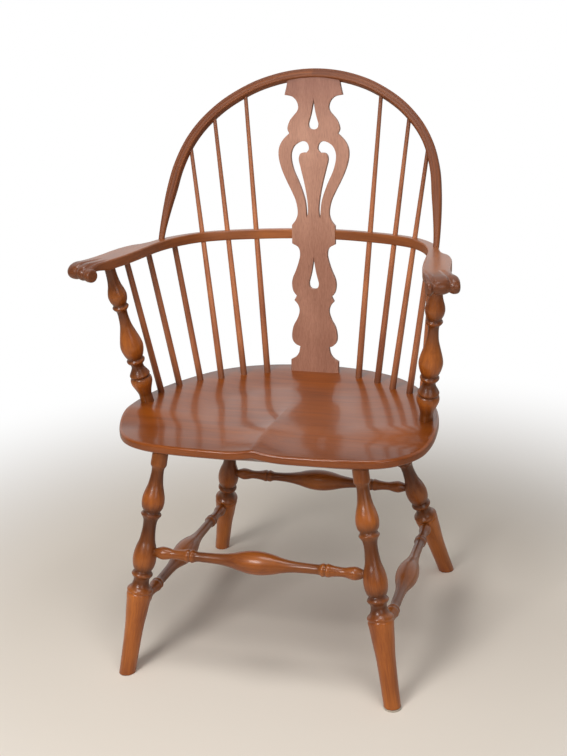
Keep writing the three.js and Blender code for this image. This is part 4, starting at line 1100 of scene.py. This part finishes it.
    def fingers(self, side):
        made, start = [], 0.0
        for index, share in enumerate(self.widths):
            end = start + share * self.length
            low, radius, moved = start, self.scroll_radius, Vector()
            if index == 0:
                low -= self.inner_finger_longer[side]
                radius -= self.inner_finger_thinner
                moved = self.forward * self.inner_finger_ahead - UP * self.inner_finger_lower
            stations = []
            for step in range(self.finger_steps + 1):
                across = step / self.finger_steps
                power, drop = self.seam_power, self.seam_drop
                if index == 0 and across < 0.5:
                    power, drop = self.inner_end_power, self.inner_end_drop
                if index == len(self.widths) - 1 and across > 0.5:
                    power, drop = self.end_power, self.end_drop
                stations.append((low + across * (end - low), radius - drop * abs(2 * across - 1) ** power))
            made.append(turned_piece("finger", stations, self.inner + moved, self.outer + moved,
                                     self.finger_sides, step=(end - low) / self.finger_rings))
            start = end
        return made

    def carving(self, side):
        """Hand and knuckles at the right, as one form, open at its back."""
        self.widths = FINGER_WIDTH_SHARES[side]
        block = self.strip("block", 0.0, self.carved_share + self.overlap, self.block_steps, True)
        cut(block, self.inner + self.forward * self.meets_ahead, self.forward)
        made = joined("carving", [block] + self.fingers(side))
        remesh = made.modifiers.new("remesh", "REMESH")
        remesh.mode = "VOXEL"
        remesh.voxel_size = self.carving_step
        smooth = made.modifiers.new("smooth", "SMOOTH")
        smooth.factor = 0.5
        smooth.iterations = self.smoothing
        made = applied(made, "carving")
        cut(made, self.line.at(self.carved_share), self.line.tangent(self.carved_share), closed=False)
        return made

    def bridge(self, working):
        """Closes the seams between the strip and each carved end."""
        for side in SIDES.values():
            rims = [e for e in working.edges if e.is_boundary and e.verts[0].co.x * side > 0]
            bmesh.ops.bridge_loops(working, edges=rims)

    def execute(self, context):
        self.prepare()
        right, left = self.carving("right"), self.carving("left")
        set_places(left.data, places_of(left.data) * [-1, 1, 1])
        left.data.flip_normals()
        self.widths = FINGER_WIDTH_SHARES["right"]
        start = self.carved_share + self.seam
        rail = self.strip("rail", start, 1 - start, self.rail_steps, False)
        made = joined("arm_rail_wood", [right, rail, left])
        edited(made, self.bridge)
        self.lay_grain(made)
        as_piece(made, "arm_wood", wood_for("arm_wood"), "arm_rail", "hand_left", "hand_right",
                 "knuckle_left", "knuckle_right", sharp_over=60)
        return {"FINISHED"}

    def lay_grain(self, made):
        """The grain follows the strip round its bend."""
        places, at_once = places_of(made.data), 4000
        nearest = np.zeros(len(places), int)
        for start in range(0, len(places), at_once):
            part = places[start:start + at_once, None, :2] - self.line.points[None, :, :2]
            nearest[start:start + at_once] = np.argmin((part ** 2).sum(2), axis=1)
        offset = places[:, :2] - self.line.points[nearest, :2]
        forward = self.line.directions[nearest, :2]
        along = self.line.distances[nearest] + (offset * forward).sum(1) - self.line.length / 2
        side = offset[:, 0] * forward[:, 1] - offset[:, 1] * forward[:, 0]
        right_half = np.abs(places) * [1, 0, 0] + places * [0, 1, 1]
        behind = -((right_half - np.array(self.inner)) @ np.array(self.forward))
        patches = np.interp(places[:, 0], *np.array(self.rail_shades).T)
        full = smoothstep(behind, 0.0, self.knuckle_reach)
        shade = self.knuckle_shade + (patches - self.knuckle_shade) * full
        over, down = self.grain_offset
        store_grain(made.data, np.stack([side + over, places[:, 2] + down, along], axis=1), shade)


class CHAIR_OT_posts(bpy.types.Operator):
    """Turn the two arm posts"""
    bl_idname = "chair.posts"
    bl_label = "Arm posts"

    sides, step, middle_seed = 48, 0.001, 12

    def execute(self, context):
        line = rail_line()
        for name, side in SIDES.items():
            foot = seat_place(*POST_FOOT_SHARES, RIM_HEIGHT, side)
            top = rail_point(line, POST_RAIL_SHARE, side)
            top.x += side * sizes().post_outset
            length = (top - foot).length
            stations = [(a * length, d * sizes().post_diameter / 2) for a, d in POST_TURNING_SHARES]
            shades = [(a * length, shade) for a, shade in POST_SHADES]
            made = turned_piece("arm_post_%s_wood" % name, stations, foot, top, self.sides, self.step,
                                self.middle_seed + side, shades)
            as_piece(made, "post_wood", wood_for("post_wood"), "arm_post_" + name)
        return {"FINISHED"}


class CHAIR_OT_bow(bpy.types.Operator):
    """Bend the bow, with two fine grooves along its front face"""
    bl_idname = "chair.bow"
    bl_label = "Bow"

    steps, corner_points, front_points = 300, 7, 41
    rounding, end_rounding, crown = 0.0034, 0.0048, 0.0006
    groove_depth, groove_half_width, groove_place = 0.0006, 0.003, 0.36
    grooves_from, grooves_to = 0.075, 0.12
    # How light the colour is, and the painted shade that darkens it in the grooves
    shade, groove_darker = 0.42, 0.15
    # The two halves are drawn from different wood
    grain_offsets = {"right": (0.1, 0.1), "left": (0.3, 0.1)}

    def nearness(self, out, scale):
        """How near a place across the front is to the middle of a groove, from 0 to 1."""
        place = sizes().bow_width / 2 * self.groove_place
        return max(0.0, 1 - abs(abs(out) / scale - place) / self.groove_half_width)

    def section(self, scale, from_end):
        """Points of outward and backward, the grooved front first."""
        half, deep = sizes().bow_width / 2 * scale, sizes().bow_depth / 2 * scale
        fullness = float(smoothstep(from_end, self.grooves_from, self.grooves_to))
        radius = self.end_rounding + (self.rounding - self.end_rounding) * fullness
        angles = np.linspace(0, math.pi / 2, self.corner_points)
        bend = [(radius - radius * math.cos(a), radius - radius * math.sin(a)) for a in angles]
        points = [(-half + out, -deep + back) for out, back in bend]
        for side in np.linspace(-half + radius, half - radius, self.front_points)[1:-1]:
            sunk = fullness * float(smoothstep(self.nearness(side, scale), 0, 1))
            points.append((side, -deep + self.crown * (side / half) ** 2 + self.groove_depth * sunk))
        points += [(half - out, -deep + back) for out, back in bend[::-1]]
        points += [(half - out, deep - back) for out, back in bend]
        points += [(-half + out, deep - back) for out, back in bend[::-1]]
        return points

    def execute(self, context):
        line, backward = bow_line(), bow_backward()
        vertices, grain, shades = [], [], []
        for share in np.arange(self.steps + 1) / self.steps:
            middle = line.at(share)
            outward = backward.cross(line.tangent(share)).normalized()
            from_end = min(share, 1 - share) * line.length
            full = float(smoothstep(from_end, 0, sizes().bow_taper))
            scale = BOW_SHARES["end"] + (1 - BOW_SHARES["end"]) * full
            over, deeper = self.grain_offsets["left" if share > 0.5 else "right"]
            for out, back in self.section(scale, from_end):
                vertices.append(middle + outward * out + backward * back)
                grain.append((out + over, back + deeper, from_end))
                # Painted shade in the grooves of the front face
                darker = self.groove_darker * self.nearness(out, scale) * full if back < 0 else 0
                shades.append(self.shade - darker)
        sides = len(vertices) // (self.steps + 1)
        made = new_object("bow_wood", vertices, ring_faces(self.steps + 1, sides), grain, shades)
        edited(made)
        as_piece(made, "bow_wood", wood_for("bow_wood"), "bow", sharp_over=75)
        return {"FINISHED"}


class CHAIR_OT_splat(bpy.types.Operator):
    """Saw out the pierced splat and bend it back to the bow"""
    bl_idname = "chair.splat"
    bl_label = "Splat"

    arris, bend_reach, bend_cuts = 0.0007, 0.03, 9
    edge_points, teardrop_points = 7, 6
    grain_offset = (0.15, 0.35, 0.05)

    def course(self):
        """Foot, lean below the rail, bend above it, and the heights along the board."""
        s = sizes()
        foot = seat_place(0, SPLAT_FOOT_SHARE, RIM_HEIGHT)
        rail_front = arm_measures()[2] - s.arm_width_back / 2
        lean = math.atan2(rail_front - foot.y, s.arm_rise_back - s.arm_thickness / 2)
        waist_low = (s.arm_rise_back - s.arm_thickness - s.splat_margin) / math.cos(lean)
        waist_high = (s.arm_rise_back + s.splat_margin) / math.cos(lean)
        bend = foot + Vector((0, math.sin(lean), math.cos(lean))) * waist_high
        line = bow_line()
        outward = bow_backward().cross(line.tangent(0.5)).normalized()
        upper = line.at(0.5) - outward * s.bow_width / 2 - bend
        bend_angle = math.atan2(upper.y, upper.z) - lean
        return foot, lean, bend_angle, waist_low, waist_high, waist_high + upper.length

    def height(self, share, waist_low, waist_high, length):
        levels = SPLAT_LEVEL_SHARES
        if share < 0:
            return share * waist_low / levels["waist_low"]
        if share > levels["bow"]:
            return length + (share - levels["bow"]) * length
        shares = [0, levels["waist_low"], levels["waist_high"], levels["bow"]]
        return float(np.interp(share, shares, [0, waist_low, waist_high, length]))

    def outline(self, stretches, to_point, side=1):
        points = []
        for stretch in stretches:
            placed = [to_point(*shares, side) for shares in stretch]
            found = catmull_rom(placed, self.edge_points) if len(placed) > 2 else np.array(placed)
            points += [tuple(p) for p in (found if not points else found[1:])]
        return points

    def execute(self, context):
        s = sizes()
        foot, lean, bend_angle, waist_low, waist_high, length = self.course()

        def to_point(across, height, side=1):
            return side * across * s.splat_half_width, self.height(height, waist_low, waist_high, length)

        right = self.outline(SPLAT_EDGE_SHARES, to_point)
        loops = [right + [(-x, y) for x, y in right[::-1]]]
        loops += [self.outline(SCROLL_OUTLINE_SHARES, to_point, side)[:-1] for side in SIDES.values()]
        for apex, low in TEARDROP_SHARES:
            start, end = to_point(0, apex)[1], to_point(0, low)[1]
            half = [(x * TEARDROP_WIDTH_SHARE * s.splat_half_width, start + (end - start) * y)
                    for x, y in catmull_rom(TEARDROP_OUTLINE_SHARES, self.teardrop_points)]
            loops.append(half + [(-x, y) for x, y in half[-2:0:-1]])
        made = self.board(loops, s.splat_thickness)
        edited(made, lambda working: self.divide(working, waist_high))
        places = places_of(made.data)
        shades = np.interp(places[:, 1], *np.array([(a * length, shade) for a, shade in SPLAT_SHADES]).T)
        store_grain(made.data, places[:, [0, 2, 1]] + np.array(self.grain_offset), shades)
        self.bend(places, waist_high, bend_angle, s.splat_thickness / 2)
        set_places(made.data, places)
        made.data.transform(Matrix.Translation(foot) @ Matrix.Rotation(math.pi / 2 - lean, 4, "X"))
        as_piece(made, "splat_wood", wood_for("splat_wood"), "splat")
        flat = made.modifiers.new("flat faces", "WEIGHTED_NORMAL")
        flat.mode = "FACE_AREA"
        flat.weight = 100
        flat.keep_sharp = True
        return {"FINISHED"}

    def board(self, loops, thickness):
        """A sawn board with softened arrises, from its outline and its piercings."""
        curve = bpy.data.curves.new("splat", "CURVE")
        curve.dimensions = "2D"
        curve.fill_mode = "BOTH"
        curve.extrude = thickness / 2 - self.arris
        curve.bevel_depth = self.arris
        curve.bevel_resolution = 1
        curve.offset = -self.arris
        for loop in loops:
            spline = curve.splines.new("POLY")
            spline.points.add(len(loop) - 1)
            spline.points.foreach_set("co", [c for x, y in loop for c in (x, y, 0, 1)])
            spline.use_cyclic_u = True
        return applied(linked("drawn", curve), "splat_wood")

    def divide(self, working, bend_height):
        """Crosses the board with edges where it bends, so that the bend is round."""
        bmesh.ops.remove_doubles(working, verts=working.verts, dist=1e-6)
        low, high = bend_height - self.bend_reach, bend_height + self.bend_reach
        for height in np.linspace(low, high, self.bend_cuts):
            geometry = working.verts[:] + working.edges[:] + working.faces[:]
            bmesh.ops.bisect_plane(working, geom=geometry, plane_co=(0, height, 0), plane_no=(0, 1, 0))

    def bend(self, places, bend_height, angle, front_face):
        """Turns what lies above the bend back, gradually over the reach of the bend."""
        low, high = bend_height - self.bend_reach, bend_height + self.bend_reach
        heights, depths = places[:, 1].copy(), places[:, 2] - front_face
        turned = angle * np.clip((heights - low) / (high - low), 0, 1)
        curvature = angle / (high - low)
        inside = np.clip(heights, low, high) - low
        beyond = np.maximum(heights - high, 0)
        along = np.sin(curvature * inside) / curvature
        sunk = (1 - np.cos(curvature * inside)) / curvature
        places[:, 1] = np.minimum(heights, low) + along + beyond * np.cos(turned) + depths * np.sin(turned)
        places[:, 2] = front_face - sunk - beyond * np.sin(turned) + depths * np.cos(turned)


class CHAIR_OT_spindles(bpy.types.Operator):
    """Turn the twelve spindles"""
    bl_idname = "chair.spindles"
    bl_label = "Spindles"

    sides, step, long_seed, short_seed = 24, 0.012, 20, 25

    def execute(self, context):
        rail, bow = rail_line(), bow_line()
        for name, side in SIDES.items():
            for index, (bow_share, rail_share) in enumerate(LONG_SPINDLE_SHARES):
                top = bow_point(bow, bow_share, side)
                through = rail_point(rail, rail_share, side)
                through.z += sizes().arm_thickness / 2
                down = through - top
                foot = top + down * ((RIM_HEIGHT - top.z) / down.z)
                node = "spindle_long_%s_%d" % (name, index + 1)
                self.spindle(node, foot, top, LONG_TAPER_SHARES, self.long_seed + index + side)
            for index, (foot_shares, rail_share) in enumerate(SHORT_SPINDLE_SHARES):
                foot = seat_place(*foot_shares, RIM_HEIGHT, side)
                node = "spindle_short_%s_%d" % (name, index + 1)
                top = rail_point(rail, rail_share, side)
                self.spindle(node, foot, top, SHORT_TAPER_SHARES, self.short_seed + index + side)
        return {"FINISHED"}

    def spindle(self, node, foot, top, taper_shares, seed):
        length = (top - foot).length
        stations = [(a * length, d * sizes().spindle_diameter / 2) for a, d in taper_shares]
        shades = [(a * length, shade) for a, shade in SPINDLE_SHADES]
        made = turned_piece(node + "_wood", stations, foot, top, self.sides, self.step, seed, shades)
        as_piece(made, "spindle_wood", wood_for("spindle_wood"), node)


class CHAIR_PT_panel(bpy.types.Panel):
    """Lists the steps that build the chair"""
    bl_idname = "CHAIR_PT_panel"
    bl_label = "Windsor armchair"
    bl_space_type = "VIEW_3D"
    bl_region_type = "UI"
    bl_category = "Chair"

    def draw(self, context):
        for operator in OPERATORS:
            self.layout.operator(operator.bl_idname)


OPERATORS = (
    CHAIR_OT_stage, CHAIR_OT_seat, CHAIR_OT_legs, CHAIR_OT_stretchers, CHAIR_OT_arms, CHAIR_OT_posts,
    CHAIR_OT_bow, CHAIR_OT_splat, CHAIR_OT_spindles,
)
CLASSES = (ChairSizes, ChairFinish) + OPERATORS + (CHAIR_PT_panel,)


def register():
    for found in CLASSES:
        bpy.utils.register_class(found)
    bpy.types.Scene.chair_sizes = bpy.props.PointerProperty(type=ChairSizes)
    bpy.types.Scene.chair_finish = bpy.props.PointerProperty(type=ChairFinish)


def unregister():
    del bpy.types.Scene.chair_finish
    del bpy.types.Scene.chair_sizes
    for found in reversed(CLASSES):
        bpy.utils.unregister_class(found)


def main():
    register()
    bpy.ops.chair.stage()
    bpy.ops.chair.seat()
    bpy.ops.chair.legs()
    bpy.ops.chair.stretchers()
    bpy.ops.chair.arms()
    bpy.ops.chair.posts()
    bpy.ops.chair.bow()
    bpy.ops.chair.splat()
    bpy.ops.chair.spindles()


if __name__ == "__main__":
    main()
